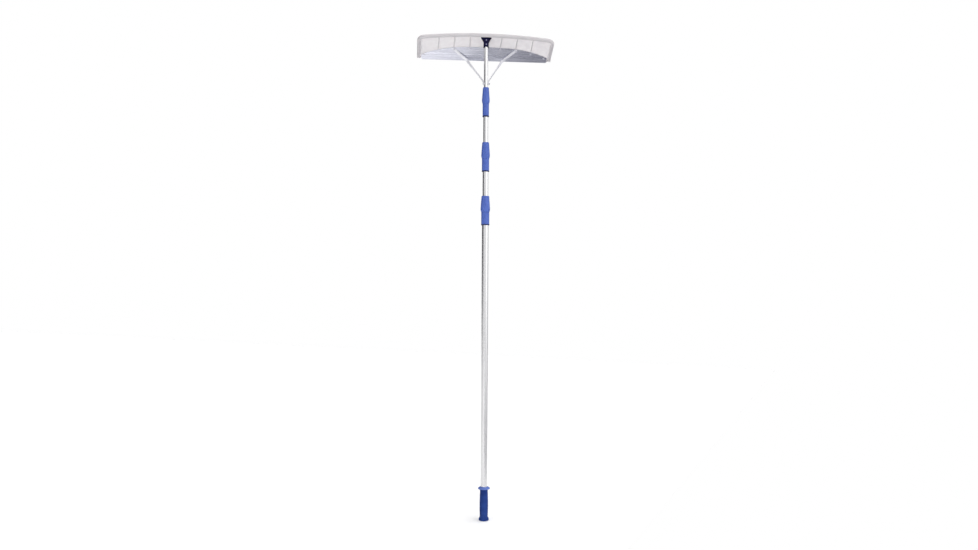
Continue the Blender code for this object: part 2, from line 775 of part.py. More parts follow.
def make_brace(name, side):
    """Flat strip: a tab on the pole's side, a twisted leg, a bend and a foot on the wear plate."""
    tab_x = TUBE_DIAMETERS[3] / 2 + GAP + BRACE_THICKNESS / 2
    bend = facet_point(*BRACE_BEND)
    foot_front = plate_front() + GAP + BRACE_THICKNESS / 2
    foot = facet_point(BRACE_FOOT[0], BRACE_FOOT[1], foot_front)
    run = Vector((BRACE_FOOT[0] - BRACE_BEND[0], BRACE_FOOT[1] - BRACE_BEND[1])).normalized()
    foot_way = facet_point(run.x, run.y, 0) - facet_point(0, 0, 0)
    bolt = Vector((tab_x, 0, BRACE_BOLT_HEIGHT))
    tab_way = Vector((0, bend.y, bend.z - BRACE_BOLT_HEIGHT)).normalized()
    points = [
        bolt - tab_way * BRACE_TAB,
        bolt + tab_way * (BRACE_TAB + 4 * MM),
        bend,
        foot - foot_way * 12 * MM,
        foot + foot_way * 8 * MM,
    ]
    route = rounded_route(points, [4 * MM, 12 * MM, 8 * MM])
    tab_side = tab_way.cross(Vector((1, 0, 0)))
    foot_side = foot_way.cross(facet_direction()).normalized()
    if tab_side.dot(foot_side) < 0:
        foot_side.negate()

    bm = bmesh.new()
    lengths = [0.0]
    for start, end in zip(route, route[1:]):
        lengths.append(lengths[-1] + (end - start).length)
    leg_end = lengths[-1] - BRACE_FOOT_RUN
    leg_start = leg_end - BRACE_TWIST_LENGTH
    previous = None
    for k, place in enumerate(route):
        ahead = route[min(k + 1, len(route) - 1)]
        behind = route[max(k - 1, 0)]
        way = (ahead - behind).normalized()
        part = min(max((lengths[k] - leg_start) / (leg_end - leg_start), 0), 1)
        across = tab_side.lerp(foot_side, part * part * (3 - 2 * part))
        across = (across - way * across.dot(way)).normalized() * (BRACE_WIDTH / 2)
        deep = way.cross(across).normalized() * (BRACE_THICKNESS / 2)
        corners = [across + deep, -across + deep, -across - deep, across - deep]
        ring = [bm.verts.new(place + corner) for corner in corners]
        if previous:
            for j in range(4):
                bm.faces.new((previous[j - 1], previous[j], ring[j], ring[j - 1]))
        else:
            bm.faces.new(ring)
        previous = ring
    bm.faces.new(previous)
    if side < 0:
        bmesh.ops.scale(bm, vec=(-1, 1, 1), verts=bm.verts)
    return finish_mesh(bm, name, aluminium)


def make_pole_bolt():
    """Bolt across the head tube through both braces, with a washer and a nut at its end."""
    seat = TUBE_DIAMETERS[3] / 2 + GAP + BRACE_THICKNESS + GAP
    where = [facing((0, 0, BRACE_BOLT_HEIGHT), (-1, 0, 0))]
    bolt = domed_fastener(POLE_BOLT_RADIUS, POLE_BOLT_HEAD, 2.6 * MM, seat, -(seat + POLE_BOLT_TAIL))
    make_set("brace_pole_bolt", bolt, 12, where)
    hole = POLE_BOLT_RADIUS + GAP
    washer = ring_outline(hole, WASHER_RADIUS, -seat - WASHER_THICKNESS, -seat)
    make_set("brace_pole_washer", washer, 16, where)
    high = -seat - WASHER_THICKNESS - GAP
    nut = ring_outline(hole, M6_NUT_CORNER, high - M6_NUT_HEIGHT, high)
    make_set("brace_pole_nut", nut, 12, where, M6_NUT_CORNER)


clear_scene()

aluminium = make_material("aluminium_tube", (0.74, 0.74, 0.76), 0.32, 1.0)
brushed = make_material("brushed_plate", (0.62, 0.63, 0.68), 0.3, 1.0)
blue_plastic = make_material("blue_plastic", (0.09, 0.15, 0.48), 0.4, 0.0)
grip_plastic = make_material("grip_plastic", (0.02, 0.05, 0.2), 0.45, 0.0)
navy = make_material("navy_moulding", (0.008, 0.006, 0.045), 0.4, 0.0)
dark_plastic = make_material("dark_plastic", (0.02, 0.02, 0.03), 0.5, 0.0)
white_plastic = make_material("white_plastic", (0.8, 0.8, 0.78), 0.4, 0.0)
poly = make_material("clear_poly", (0.85, 0.84, 0.82), 0.35, 0.0, 0.35)
steel = make_material("plated_steel", (0.8, 0.8, 0.82), 0.28, 1.0)
cutter_material = make_material("helper", (0.5, 0.5, 0.5), 0.5, 0.0)

tubes = [make_tube(index) for index in range(len(TUBE_DIAMETERS))]
for index in range(1, len(TUBE_DIAMETERS)):
    make_end_bush(index)
for index in range(len(COLLAR_BOTTOMS)):
    make_collar(index)
make_grip()
make_butt_plug()

blade = make_blade()
plate = make_wear_plate()
make_rivets()
make_foot_fasteners()
make_pad_screws()
make_bracket()
make_bracket_screws()
braces = [make_brace("brace_left", -1), make_brace("brace_right", 1)]
make_pole_bolt()

rivet_cutter = make_cutter("rivet_hole_cutter", RIVET_RADIUS + GAP, 6 * MM, rivet_matrices(), 10)
foot_cutter = make_cutter("foot_hole_cutter", BOLT_RADIUS + GAP, 10 * MM, foot_matrices(), 10)
pad_cutter = make_cutter("wall_hole_cutter", BOLT_RADIUS + GAP, 6 * MM, pad_screw_matrices(), 10)
for piece in (blade, plate):
    cut(piece, rivet_cutter)
    cut(piece, foot_cutter)
cut(blade, pad_cutter)

across = [facing((0, 0, BRACE_BOLT_HEIGHT), (-1, 0, 0))]
bolt_cutter = make_cutter("pole_bolt_cutter", POLE_BOLT_RADIUS + GAP, 25 * MM, across, 12)
cut(tubes[3], bolt_cutter)
cut(tubes[3], screw_cutter("tube_screw_cutter"))
for brace in braces:
    cut(brace, bolt_cutter)
    cut(brace, foot_cutter)
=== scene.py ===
import math

import bmesh
import bpy
from mathutils import Matrix, Vector


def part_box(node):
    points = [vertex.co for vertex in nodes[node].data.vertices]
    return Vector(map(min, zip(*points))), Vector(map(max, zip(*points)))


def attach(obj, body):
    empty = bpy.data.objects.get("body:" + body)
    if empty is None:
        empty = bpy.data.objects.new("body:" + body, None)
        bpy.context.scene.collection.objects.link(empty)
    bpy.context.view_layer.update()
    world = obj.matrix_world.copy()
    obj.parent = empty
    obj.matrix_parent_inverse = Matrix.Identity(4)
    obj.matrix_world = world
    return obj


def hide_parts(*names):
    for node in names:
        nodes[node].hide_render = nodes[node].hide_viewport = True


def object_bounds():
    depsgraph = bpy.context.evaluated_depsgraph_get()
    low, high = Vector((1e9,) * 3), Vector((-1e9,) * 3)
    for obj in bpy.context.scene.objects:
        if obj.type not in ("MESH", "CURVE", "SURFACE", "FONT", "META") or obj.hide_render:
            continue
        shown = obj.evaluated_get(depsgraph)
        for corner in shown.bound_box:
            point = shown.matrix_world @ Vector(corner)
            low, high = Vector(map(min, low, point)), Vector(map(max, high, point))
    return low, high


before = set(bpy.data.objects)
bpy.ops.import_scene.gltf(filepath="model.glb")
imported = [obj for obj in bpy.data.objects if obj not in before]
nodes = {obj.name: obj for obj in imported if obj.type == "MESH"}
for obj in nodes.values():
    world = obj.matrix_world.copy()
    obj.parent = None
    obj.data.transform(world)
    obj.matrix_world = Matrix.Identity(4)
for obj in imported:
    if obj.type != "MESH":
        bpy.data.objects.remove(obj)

cadLow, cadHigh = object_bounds()
mm = 0.001
print("frame loaded:", len(nodes), "nodes")


def smooth(part):
    part = min(max(part, 0.0), 1.0)
    return part * part * (3 - 2 * part)


def boxRadius(node):
    low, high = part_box(node)
    return (high.x - low.x) / 2


def addObject(name, data):
    made = bpy.data.objects.new(name, data)
    bpy.context.scene.collection.objects.link(made)
    return made


def storeShare(bm, name, shareAt):
    # Keeps a number from 0 to 1 at each point, worked out from its height, for a material to read.
    layer = bm.verts.layers.float.new(name)
    for vert in bm.verts:
        vert[layer] = shareAt(vert.co.z)


def addPiece(name, bm, material, body, replaced, sharpAngle=40, place=None):
    bmesh.ops.recalc_face_normals(bm, faces=bm.faces)
    mesh = bpy.data.meshes.new(name)
    bm.to_mesh(mesh)
    bm.free()
    mesh.shade_smooth()
    mesh.set_sharp_from_angle(angle=math.radians(sharpAngle))
    mesh.materials.append(material)
    piece = addObject(name, mesh)
    if place:
        piece.matrix_world = place
    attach(piece, body)
    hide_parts(*replaced)
    return piece


def softenEdges(piece, width, angle=40, segments=3):
    bevel = piece.modifiers.new("softEdges", "BEVEL")
    bevel.width = width
    bevel.segments = segments
    bevel.limit_method = "ANGLE"
    bevel.angle_limit = math.radians(angle)
    bevel.harden_normals = True


def roundedOutline(corners, arcSteps=4):
    # Corners are (radius, height, rounding); each one with a rounding becomes a small arc.
    outline = []
    for k, (x, y, rounding) in enumerate(corners):
        corner = Vector((x, y))
        if not rounding:
            outline.append(corner)
            continue
        before = Vector(corners[k - 1][:2]) - corner
        after = Vector(corners[(k + 1) % len(corners)][:2]) - corner
        start = corner + before.normalized() * min(rounding, before.length * 0.48)
        end = corner + after.normalized() * min(rounding, after.length * 0.48)
        for step in range(arcSteps + 1):
            part = step / arcSteps
            low = start.lerp(corner, part)
            outline.append(low.lerp(corner.lerp(end, part), part))
    return outline


def denser(outline, longest):
    filled = []
    for k, end in enumerate(outline):
        start = outline[k - 1]
        steps = max(1, math.ceil((end - start).length / longest))
        filled += [start.lerp(end, (step + 1) / steps) for step in range(steps)]
    return filled


def turn(bm, outline, steps, shape=None, gap=0.0):
    # Spins a closed outline about Z. A gap leaves an open slit, and shape moves each point.
    whole = not gap
    angles = [gap / 2 + (2 * math.pi - gap) * k / steps for k in range(steps + (0 if whole else 1))]
    rings = []
    for angle in angles:
        ring = []
        for point in outline:
            radius = max(point.x, 0.0)
            height = point.y
            if shape and radius > 0:
                radius, height = shape(radius, height, angle)
            ring.append(bm.verts.new((radius * math.cos(angle), radius * math.sin(angle), height)))
        rings.append(ring)
    pairs = list(zip(rings, rings[1:])) + ([(rings[-1], rings[0])] if whole else [])
    for left, right in pairs:
        for k in range(len(outline)):
            face = (left[k - 1], right[k - 1], right[k], left[k])
            bm.faces.new(face)
    if not whole:
        bm.faces.new(rings[0])
        bm.faces.new(rings[-1])
    bmesh.ops.remove_doubles(bm, verts=bm.verts, dist=1e-7)
    bmesh.ops.dissolve_degenerate(bm, edges=bm.edges, dist=1e-8)


def facing(place, direction):
    spin = Vector(direction).to_track_quat("Z", "Y").to_matrix().to_4x4()
    return Matrix.Translation(place) @ spin


def addNode(tree, kind, **values):
    node = tree.nodes.new(kind)
    for name, value in values.items():
        if hasattr(node, name):
            setattr(node, name, value)
        else:
            node.inputs[name.replace("_", " ")].default_value = value
    return node


def startGroup(name, inputs, outputs):
    group = bpy.data.node_groups.new(name, "ShaderNodeTree")
    kinds = {"colour": "NodeSocketColor", "value": "NodeSocketFloat", "vector": "NodeSocketVector"}
    for label, kind, value in inputs:
        socket = group.interface.new_socket(name=label, in_out="INPUT", socket_type=kinds[kind])
        socket.default_value = value
    for label, kind in outputs:
        group.interface.new_socket(name=label, in_out="OUTPUT", socket_type=kinds[kind])
    return group, group.nodes.new("NodeGroupInput"), group.nodes.new("NodeGroupOutput")


def mixColours(tree, factor, first, second):
    mix = tree.nodes.new("ShaderNodeMix")
    mix.data_type = "RGBA"
    for place, value in ((0, factor), (6, first), (7, second)):  # factor, colour A, colour B
        if isinstance(value, bpy.types.NodeSocket):
            tree.links.new(value, mix.inputs[place])
        else:
            mix.inputs[place].default_value = value
    return mix.outputs[2]


def calculate(tree, operation, first, second, third=None):
    node = tree.nodes.new("ShaderNodeMath")
    node.operation = operation
    for place, value in enumerate((first, second, third)):
        if isinstance(value, bpy.types.NodeSocket):
            tree.links.new(value, node.inputs[place])
        elif value is not None:
            node.inputs[place].default_value = value
    return node.outputs[0]


def remap(tree, value, low, high, newLow=0.0, newHigh=1.0):
    node = addNode(tree, "ShaderNodeMapRange", From_Min=low, From_Max=high, To_Min=newLow, To_Max=newHigh)
    tree.links.new(value, node.inputs["Value"])
    return node.outputs["Result"]


def stretchedPlace(tree, stretch):
    scaled = addNode(tree, "ShaderNodeVectorMath", operation="MULTIPLY")
    tree.links.new(objectPlace(tree), scaled.inputs[0])
    tree.links.new(stretch, scaled.inputs[1])
    return scaled.outputs[0]


def noiseAt(tree, place, scale, detail=4.0, roughness=0.55):
    noise = addNode(tree, "ShaderNodeTexNoise", Detail=detail, Roughness=roughness)
    tree.links.new(place, noise.inputs["Vector"])
    if isinstance(scale, bpy.types.NodeSocket):
        tree.links.new(scale, noise.inputs["Scale"])
    else:
        noise.inputs["Scale"].default_value = scale
    return noise.outputs["Fac"]


def objectPlace(tree):
    return tree.nodes.new("ShaderNodeTexCoord").outputs["Object"]


def putOut(group, made, values):
    for label, value in values.items():
        group.links.new(value, made.inputs[label])


def makeStreaks():
    # Long fine lines, such as drawing or brushing leaves on metal.
    group, given, made = startGroup("streaks", [
        ("Stretch", "vector", (1, 1, 1)),
        ("Colour", "colour", (0.8, 0.8, 0.8, 1)),
        ("Line Colour", "colour", (0.6, 0.6, 0.6, 1)),
        ("Line Amount", "value", 0.5),
        ("Roughness", "value", 0.3),
        ("Roughness Spread", "value", 0.15),
    ], [("Colour", "colour"), ("Roughness", "value"), ("Height", "value")])
    place = stretchedPlace(group, given.outputs["Stretch"])
    both = calculate(group, "ADD", noiseAt(group, place, 1.0, 6.0, 0.65), noiseAt(group, place, 0.16, 3.0))
    spread = remap(group, both, 0.72, 1.28)
    amount = calculate(group, "MULTIPLY", spread, given.outputs["Line Amount"])
    colour = mixColours(group, amount, given.outputs["Colour"], given.outputs["Line Colour"])
    rough = calculate(group, "MULTIPLY_ADD", spread, given.outputs["Roughness Spread"],
                      given.outputs["Roughness"])
    putOut(group, made, {"Colour": colour, "Roughness": rough, "Height": both})
    return group


def makeMouldedSkin():
    # Fine pebbled skin of a moulding, with slow changes of tone and a few paler scuffs.
    group, given, made = startGroup("mouldedSkin", [
        ("Grain Scale", "value", 1500.0),
        ("Colour", "colour", (0.1, 0.1, 0.4, 1)),
        ("Second Colour", "colour", (0.08, 0.08, 0.35, 1)),
        ("Scuff Colour", "colour", (0.4, 0.4, 0.6, 1)),
        ("Scuff Amount", "value", 0.2),
        ("Roughness", "value", 0.4),
        ("Roughness Spread", "value", 0.12),
    ], [("Colour", "colour"), ("Roughness", "value"), ("Height", "value")])
    place = objectPlace(group)
    grain = noiseAt(group, place, given.outputs["Grain Scale"], 2.0)
    cloud = remap(group, noiseAt(group, place, 38.0, 3.0), 0.35, 0.65)
    colour = mixColours(group, cloud, given.outputs["Colour"], given.outputs["Second Colour"])
    scuffs = remap(group, noiseAt(group, place, 190.0, 8.0, 0.7), 0.62, 0.74)
    scuffed = calculate(group, "MULTIPLY", scuffs, given.outputs["Scuff Amount"])
    colour = mixColours(group, scuffed, colour, given.outputs["Scuff Colour"])
    rough = calculate(group, "MULTIPLY_ADD", cloud, given.outputs["Roughness Spread"],
                      given.outputs["Roughness"])
    rough = calculate(group, "MULTIPLY_ADD", scuffed, 0.2, rough)
    putOut(group, made, {"Colour": colour, "Roughness": rough, "Height": grain})
    return group


def makeEdgeWear():
    # Outer edges rub to another colour, in a broken line.
    group, given, made = startGroup("edgeWear", [
        ("Colour", "colour", (0.5, 0.5, 0.5, 1)),
        ("Worn Colour", "colour", (0.8, 0.8, 0.8, 1)),
        ("Amount", "value", 0.5),
        ("Edge Start", "value", 0.52),
        ("Edge End", "value", 0.6),
    ], [("Colour", "colour"), ("Mask", "value")])
    place = objectPlace(group)
    pointed = group.nodes.new("ShaderNodeNewGeometry").outputs["Pointiness"]
    edge = group.nodes.new("ShaderNodeMapRange")
    group.links.new(pointed, edge.inputs["Value"])
    group.links.new(given.outputs["Edge Start"], edge.inputs["From Min"])
    group.links.new(given.outputs["Edge End"], edge.inputs["From Max"])
    broken = remap(group, noiseAt(group, place, 240.0, 5.0), 0.38, 0.62)
    mask = calculate(group, "MULTIPLY", edge.outputs["Result"], broken)
    mask = calculate(group, "MULTIPLY", mask, given.outputs["Amount"])
    colour = mixColours(group, mask, given.outputs["Colour"], given.outputs["Worn Colour"])
    putOut(group, made, {"Colour": colour, "Mask": mask})
    return group


streaks = makeStreaks()
mouldedSkin = makeMouldedSkin()
edgeWear = makeEdgeWear()
print("shared node groups made")


def startMaterial(name, colour, look):
    material = bpy.data.materials.new(name)
    material.use_nodes = True
    tree = material.node_tree
    shader = tree.nodes["Principled BSDF"]
    material.diffuse_color = (*colour, 1)
    for socket, value in look.items():
        shader.inputs[socket].default_value = value
    return material, tree, shader


def addGroup(tree, group, values):
    node = tree.nodes.new("ShaderNodeGroup")
    node.node_tree = group
    for label, value in values.items():
        if isinstance(value, bpy.types.NodeSocket):
            tree.links.new(value, node.inputs[label])
        else:
            node.inputs[label].default_value = (*value, 1) if "Colour" in label else value
    return node


def addBump(tree, shader, height, strength, distance):
    bump = addNode(tree, "ShaderNodeBump", Strength=strength, Distance=distance)
    tree.links.new(height, bump.inputs["Height"])
    tree.links.new(bump.outputs["Normal"], shader.inputs["Normal"])


def streakedMetal(name, look):
    material, tree, shader = startMaterial(name, look["colour"], {"Metallic": look["metallic"]})
    lines = addGroup(tree, streaks, {
        "Stretch": look["stretch"], "Colour": look["colour"], "Line Colour": look["lineColour"],
        "Line Amount": look["lines"], "Roughness": look["roughness"],
        "Roughness Spread": look["roughnessSpread"],
    })
    worn = addGroup(tree, edgeWear, {
        "Colour": lines.outputs["Colour"], "Worn Colour": look["wornColour"], "Amount": look["wear"],
    })
    tree.links.new(worn.outputs["Colour"], shader.inputs["Base Color"])
    tree.links.new(lines.outputs["Roughness"], shader.inputs["Roughness"])
    addBump(tree, shader, lines.outputs["Height"], look["bump"], look["bumpDepth"])
    return material


def mouldedPlastic(name, look):
    material, tree, shader = startMaterial(name, look["colour"], {"Specular IOR Level": look["gloss"]})
    skin = addGroup(tree, mouldedSkin, {
        "Grain Scale": look["grain"], "Colour": look["colour"], "Second Colour": look["secondColour"],
        "Scuff Colour": look["scuffColour"], "Scuff Amount": look["scuffs"],
        "Roughness": look["roughness"], "Roughness Spread": 0.12,
    })
    worn = addGroup(tree, edgeWear, {
        "Colour": skin.outputs["Colour"], "Worn Colour": look["scuffColour"], "Amount": look["wear"],
    })
    tree.links.new(worn.outputs["Colour"], shader.inputs["Base Color"])
    tree.links.new(skin.outputs["Roughness"], shader.inputs["Roughness"])
    addBump(tree, shader, skin.outputs["Height"], look["bump"], look["bumpDepth"])
    return material


def tintByShare(material, attribute, tint):
    tree = material.node_tree
    shader = tree.nodes["Principled BSDF"]
    share = tree.nodes.new("ShaderNodeAttribute")
    share.attribute_name = attribute
    plain = shader.inputs["Base Color"].links[0].from_socket
    tree.links.new(mixColours(tree, share.outputs["Fac"], plain, (*tint, 1)), shader.inputs["Base Color"])


drawnAluminium = streakedMetal("drawnAluminium", {
    "colour": (0.77, 0.77, 0.78), "lineColour": (0.52, 0.515, 0.52), "wornColour": (0.95, 0.95, 0.96),
    "stretch": (900, 900, 7), "lines": 0.6, "metallic": 0.9, "roughness": 0.2,
    "roughnessSpread": 0.12, "wear": 0.5, "bump": 0.25, "bumpDepth": 0.0004,
})
brushedSheet = streakedMetal("brushedSheet", {
    "colour": (0.78, 0.785, 0.86), "lineColour": (0.53, 0.535, 0.61), "wornColour": (0.92, 0.92, 0.95),
    "stretch": (6, 1100, 1100), "lines": 0.7, "metallic": 0.95, "roughness": 0.22,
    "roughnessSpread": 0.13, "wear": 0.8, "bump": 0.5, "bumpDepth": 0.0005,
})
stripMetal = streakedMetal("stripMetal", {
    "colour": (0.88, 0.88, 0.92), "lineColour": (0.70, 0.70, 0.75), "wornColour": (0.95, 0.95, 0.96),
    "stretch": (260, 260, 60), "lines": 0.5, "metallic": 0.35, "roughness": 0.4,
    "roughnessSpread": 0.15, "wear": 0.6, "bump": 0.2, "bumpDepth": 0.0003,
})
platedSteel = streakedMetal("platedSteel", {
    "colour": (0.8, 0.8, 0.85), "lineColour": (0.6, 0.6, 0.68), "wornColour": (0.95, 0.95, 0.96),
    "stretch": (420, 420, 420), "lines": 0.4, "metallic": 0.9, "roughness": 0.22,
    "roughnessSpread": 0.16, "wear": 0.5, "bump": 0.15, "bumpDepth": 0.0002,
})
dullSteel = streakedMetal("dullSteel", {
    "colour": (0.36, 0.37, 0.56), "lineColour": (0.24, 0.25, 0.42), "wornColour": (0.6, 0.6, 0.74),
    "stretch": (420, 420, 420), "lines": 0.5, "metallic": 0.7, "roughness": 0.42,
    "roughnessSpread": 0.15, "wear": 0.4, "bump": 0.15, "bumpDepth": 0.0002,
})
lockBlue = mouldedPlastic("lockBlue", {
    "colour": (0.08, 0.14, 0.47), "secondColour": (0.068, 0.12, 0.43), "scuffColour": (0.26, 0.35, 0.68),
    "grain": 1500.0, "gloss": 0.3, "scuffs": 0.22, "roughness": 0.42, "wear": 0.45, "bump": 0.12,
    "bumpDepth": 0.0002,
})
tintByShare(lockBlue, "footShadeShare", (0.010, 0.016, 0.075))     # painted shade: the socket's foot band is darker, for the shadow at the collar's foot
# The grip's edge wear is high and pale: real rubbing, and also a painted highlight on the guard's sharp
# rim.
gripBlue = mouldedPlastic("gripBlue", {
    "colour": (0.017, 0.045, 0.20), "secondColour": (0.010, 0.028, 0.14), "scuffColour": (0.30, 0.40, 0.70),
    "grain": 900.0, "gloss": 0.08, "scuffs": 0.06, "roughness": 0.58, "wear": 0.9, "bump": 0.35,
    "bumpDepth": 0.0003,
})
tintByShare(gripBlue, "guardHighlightShare", (0.10, 0.155, 0.42))      # painted highlight: the guard is painted paler than the hand part, for the light on its top
navyMoulding = mouldedPlastic("navyMoulding", {
    "colour": (0.006, 0.005, 0.035), "secondColour": (0.004, 0.004, 0.026),
    "scuffColour": (0.10, 0.10, 0.22), "grain": 1200.0, "gloss": 0.12, "scuffs": 0.1,
    "roughness": 0.5, "wear": 0.25, "bump": 0.15, "bumpDepth": 0.0002,
})
blackPlastic = mouldedPlastic("blackPlastic", {
    "colour": (0.018, 0.018, 0.024), "secondColour": (0.012, 0.012, 0.016), "scuffColour": (0.2, 0.2, 0.22),
    "grain": 1000.0, "gloss": 0.4, "scuffs": 0.3, "roughness": 0.5, "wear": 0.3, "bump": 0.25,
    "bumpDepth": 0.0003,
})
naturalNylon = mouldedPlastic("naturalNylon", {
    "colour": (0.78, 0.77, 0.72), "secondColour": (0.72, 0.71, 0.66), "scuffColour": (0.6, 0.6, 0.58),
    "grain": 1100.0, "gloss": 0.5, "scuffs": 0.25, "roughness": 0.4, "wear": 0.2, "bump": 0.1,
    "bumpDepth": 0.0002,
})
frostedPoly = mouldedPlastic("frostedPoly", {
    "colour": (0.80, 0.78, 0.785), "secondColour": (0.75, 0.725, 0.735), "scuffColour": (0.90, 0.89, 0.89),
    "grain": 700.0, "gloss": 0.5, "scuffs": 0.35, "roughness": 0.3, "wear": 0.4, "bump": 0.2,
    "bumpDepth": 0.0004,
})
tintByShare(frostedPoly, "rimShare", (0.54, 0.52, 0.535))     # painted shade: the thick rim and ribs are painted greyer, for the shade in the thick moulding
through = {"Subsurface Weight": 0.6, "Subsurface Radius": (1.0, 0.93, 0.92), "Subsurface Scale": 0.008}
for socket, value in through.items():
    frostedPoly.node_tree.nodes["Principled BSDF"].inputs[socket].default_value = value
print("finishes made")


# Pole sections: radii, ends and bodies all come from the frame.
tubeLook = {"wall": 1.2 * mm, "endRounding": 0.35 * mm, "steps": 72, "longestStep": 60 * mm}


def makeTube(number, body):
    low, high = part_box(f"tube_{number}")
    outer = boxRadius(f"tube_{number}")
    inner = outer - tubeLook["wall"]
    rounding = tubeLook["endRounding"]
    outline = roundedOutline([
        (inner, low.z, rounding), (outer, low.z, rounding),
        (outer, high.z, rounding), (inner, high.z, rounding),
    ], 3)
    bm = bmesh.new()
    turn(bm, denser(outline, tubeLook["longestStep"]), tubeLook["steps"])
    addPiece(f"poleTube{number}", bm, drawnAluminium, body, [f"tube_{number}"])


tubeBodies = ["handle", "section_2", "section_3", "head"]
for number, body in enumerate(tubeBodies, 1):
    makeTube(number, body)
print("pole tubes made")


# Twist locks: a socket fixed on the lower tube and a fluted nut that tapers to the upper one.
lockLook = {
    "steps": 128,
    "longestStep": 1.6 * mm,
    "flangeHeight": 4.5 * mm,
    "flangeProud": 0.5 * mm,
    "grooveDepth": 0.45 * mm,
    "grooveHeight": 1.4 * mm,
    "waistDepth": 0.35 * mm,
    "flutes": 8,
    "fluteDepth": 1.15 * mm,
    "fluteHalf": 0.34,          # half width, as a share of the pitch
    "fluteBottom": 12 * mm,     # above the nut's lower edge
    "topBand": 7 * mm,
    "bulgeHeight": 12 * mm,
    "topOverTube": 3.25 * mm,
    "boreGap": 0.5 * mm,
    "rounding": 1.1 * mm,
    "footShadeFade": 0.6 * mm,       # the painted shade on the foot band ends over this height
}


def makeLockBody(number, lowerBody):
    look = lockLook
    low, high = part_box(f"collar_{number}_body")
    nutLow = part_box(f"collar_{number}_nut")[0].z
    flange = boxRadius(f"collar_{number}_body")
    side = flange - look["flangeProud"]
    lowerTube = boxRadius(f"tube_{number}") + 0.3 * mm
    spigot = boxRadius(f"tube_{number + 1}") + 2.5 * mm
    bore = boxRadius(f"tube_{number + 1}") + 0.3 * mm
    shoulder = nutLow - 0.3 * mm
    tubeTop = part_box(f"tube_{number}")[1].z + 0.3 * mm
    bandTop = low.z + look["flangeHeight"]
    outline = roundedOutline([
        (lowerTube, low.z, 0.5 * mm),
        (flange, low.z, look["rounding"]),
        (flange, bandTop, 0.4 * mm),
        (side - look["grooveDepth"], bandTop + 0.5 * mm, 0.2 * mm),
        (side - look["grooveDepth"], bandTop + look["grooveHeight"], 0.2 * mm),
        (side, bandTop + look["grooveHeight"] + 0.7 * mm, 0.4 * mm),
        (side, shoulder, 0.6 * mm),
        (spigot, shoulder, 0.2 * mm),
        (spigot, high.z, 0.3 * mm),
        (bore, high.z, 0.3 * mm),
        (bore, tubeTop, 0),
        (lowerTube, tubeTop, 0),
    ])

    def dished(radius, height, angle):
        # Eight shallow thumb flats run up the socket's side.
        part = smooth((height - bandTop - 4 * mm) / (6 * mm))
        part *= smooth((shoulder - 3 * mm - height) / (6 * mm))
        if radius < side - 0.1 * mm:
            part = 0
        wave = 0.5 - 0.5 * math.cos(look["flutes"] * angle)
        return radius - look["waistDepth"] * part * wave, height

    bm = bmesh.new()
    turn(bm, denser(outline, look["longestStep"] * 1.6), look["steps"], dished)
    # The foot band is painted darker here, as painted shade.
    fade = look["footShadeFade"]
    storeShare(bm, "footShadeShare", lambda height: smooth((bandTop + fade - height) / fade))
    addPiece(f"lockBody{number}", bm, lockBlue, lowerBody, [f"collar_{number}_body"], 50)


def makeLockNut(number, nutBody):
    look = lockLook
    low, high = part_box(f"collar_{number}_nut")
    bulge = boxRadius(f"collar_{number}_nut")
    side = boxRadius(f"collar_{number}_body") - look["flangeProud"]
    lowerTube = boxRadius(f"tube_{number}")
    upperTube = boxRadius(f"tube_{number + 1}")
    top = lowerTube + look["topOverTube"]
    wide = upperTube + 2.9 * mm
    bore = upperTube + look["boreGap"]
    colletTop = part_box(f"collar_{number}_collet")[1].z
    outline = roundedOutline([
        (wide, low.z, 0.3 * mm),
        (side, low.z, 0.5 * mm),
        (bulge, low.z + look["bulgeHeight"], 7 * mm),
        (top, high.z - look["topBand"], 3 * mm),
        (top - 0.7 * mm, high.z, 1.3 * mm),
        (bore, high.z, 0.4 * mm),
        (bore, colletTop + 0.6 * mm, 0),
        (wide, low.z + 44 * mm, 0),
    ], 6)
    fluteLow = low.z + look["fluteBottom"]
    fluteHigh = high.z - look["topBand"] - 1 * mm

    def fluted(radius, height, angle):
        if radius < top - 1.2 * mm:
            return radius, height
        pitch = 2 * math.pi / look["flutes"]
        offset = abs(angle % pitch - pitch / 2) * radius
        half = look["fluteHalf"] * pitch * radius
        below = max(fluteLow + half - height, 0.0)      # the lower end is a half circle
        above = max(height - fluteHigh, 0.0)
        away = math.hypot(offset, below) / half
        depth = look["fluteDepth"] * smooth((1 - away) * 2.2) * smooth(1 - above / (3 * mm))
        return radius - depth, height

    bm = bmesh.new()
    turn(bm, denser(outline, look["longestStep"]), look["steps"], fluted)
    addPiece(f"lockNut{number}", bm, lockBlue, nutBody, [f"collar_{number}_nut"], 60)


for number in (1, 2, 3):
    makeLockBody(number, tubeBodies[number - 1])
    makeLockNut(number, f"lock_nut_{number}")
print("twist locks made")


# Grip: heel, waisted hand part with shallow flutes, and a guard ring.
gripLook = {
    "steps": 120,
    "longestStep": 2 * mm,
    "radius": 20 * mm,
    "heel": 23.5 * mm,
    "plugStep": 9 * mm,
    "swell": 0.3 * mm,
    "topWaist": 2.2 * mm,
    "lowWaist": 1.5 * mm,
    "heelTop": 15 * mm,
    "neck": 143 * mm,
    "guardMiddle": 147.5 * mm,
    "guardHighlightBelow": 3 * mm,       # the painted highlight starts this far below the guard's middle
    "guardHighlightFade": 2 * mm,
    "flutes": 12,
    "fluteDepth": 0.45 * mm,
}


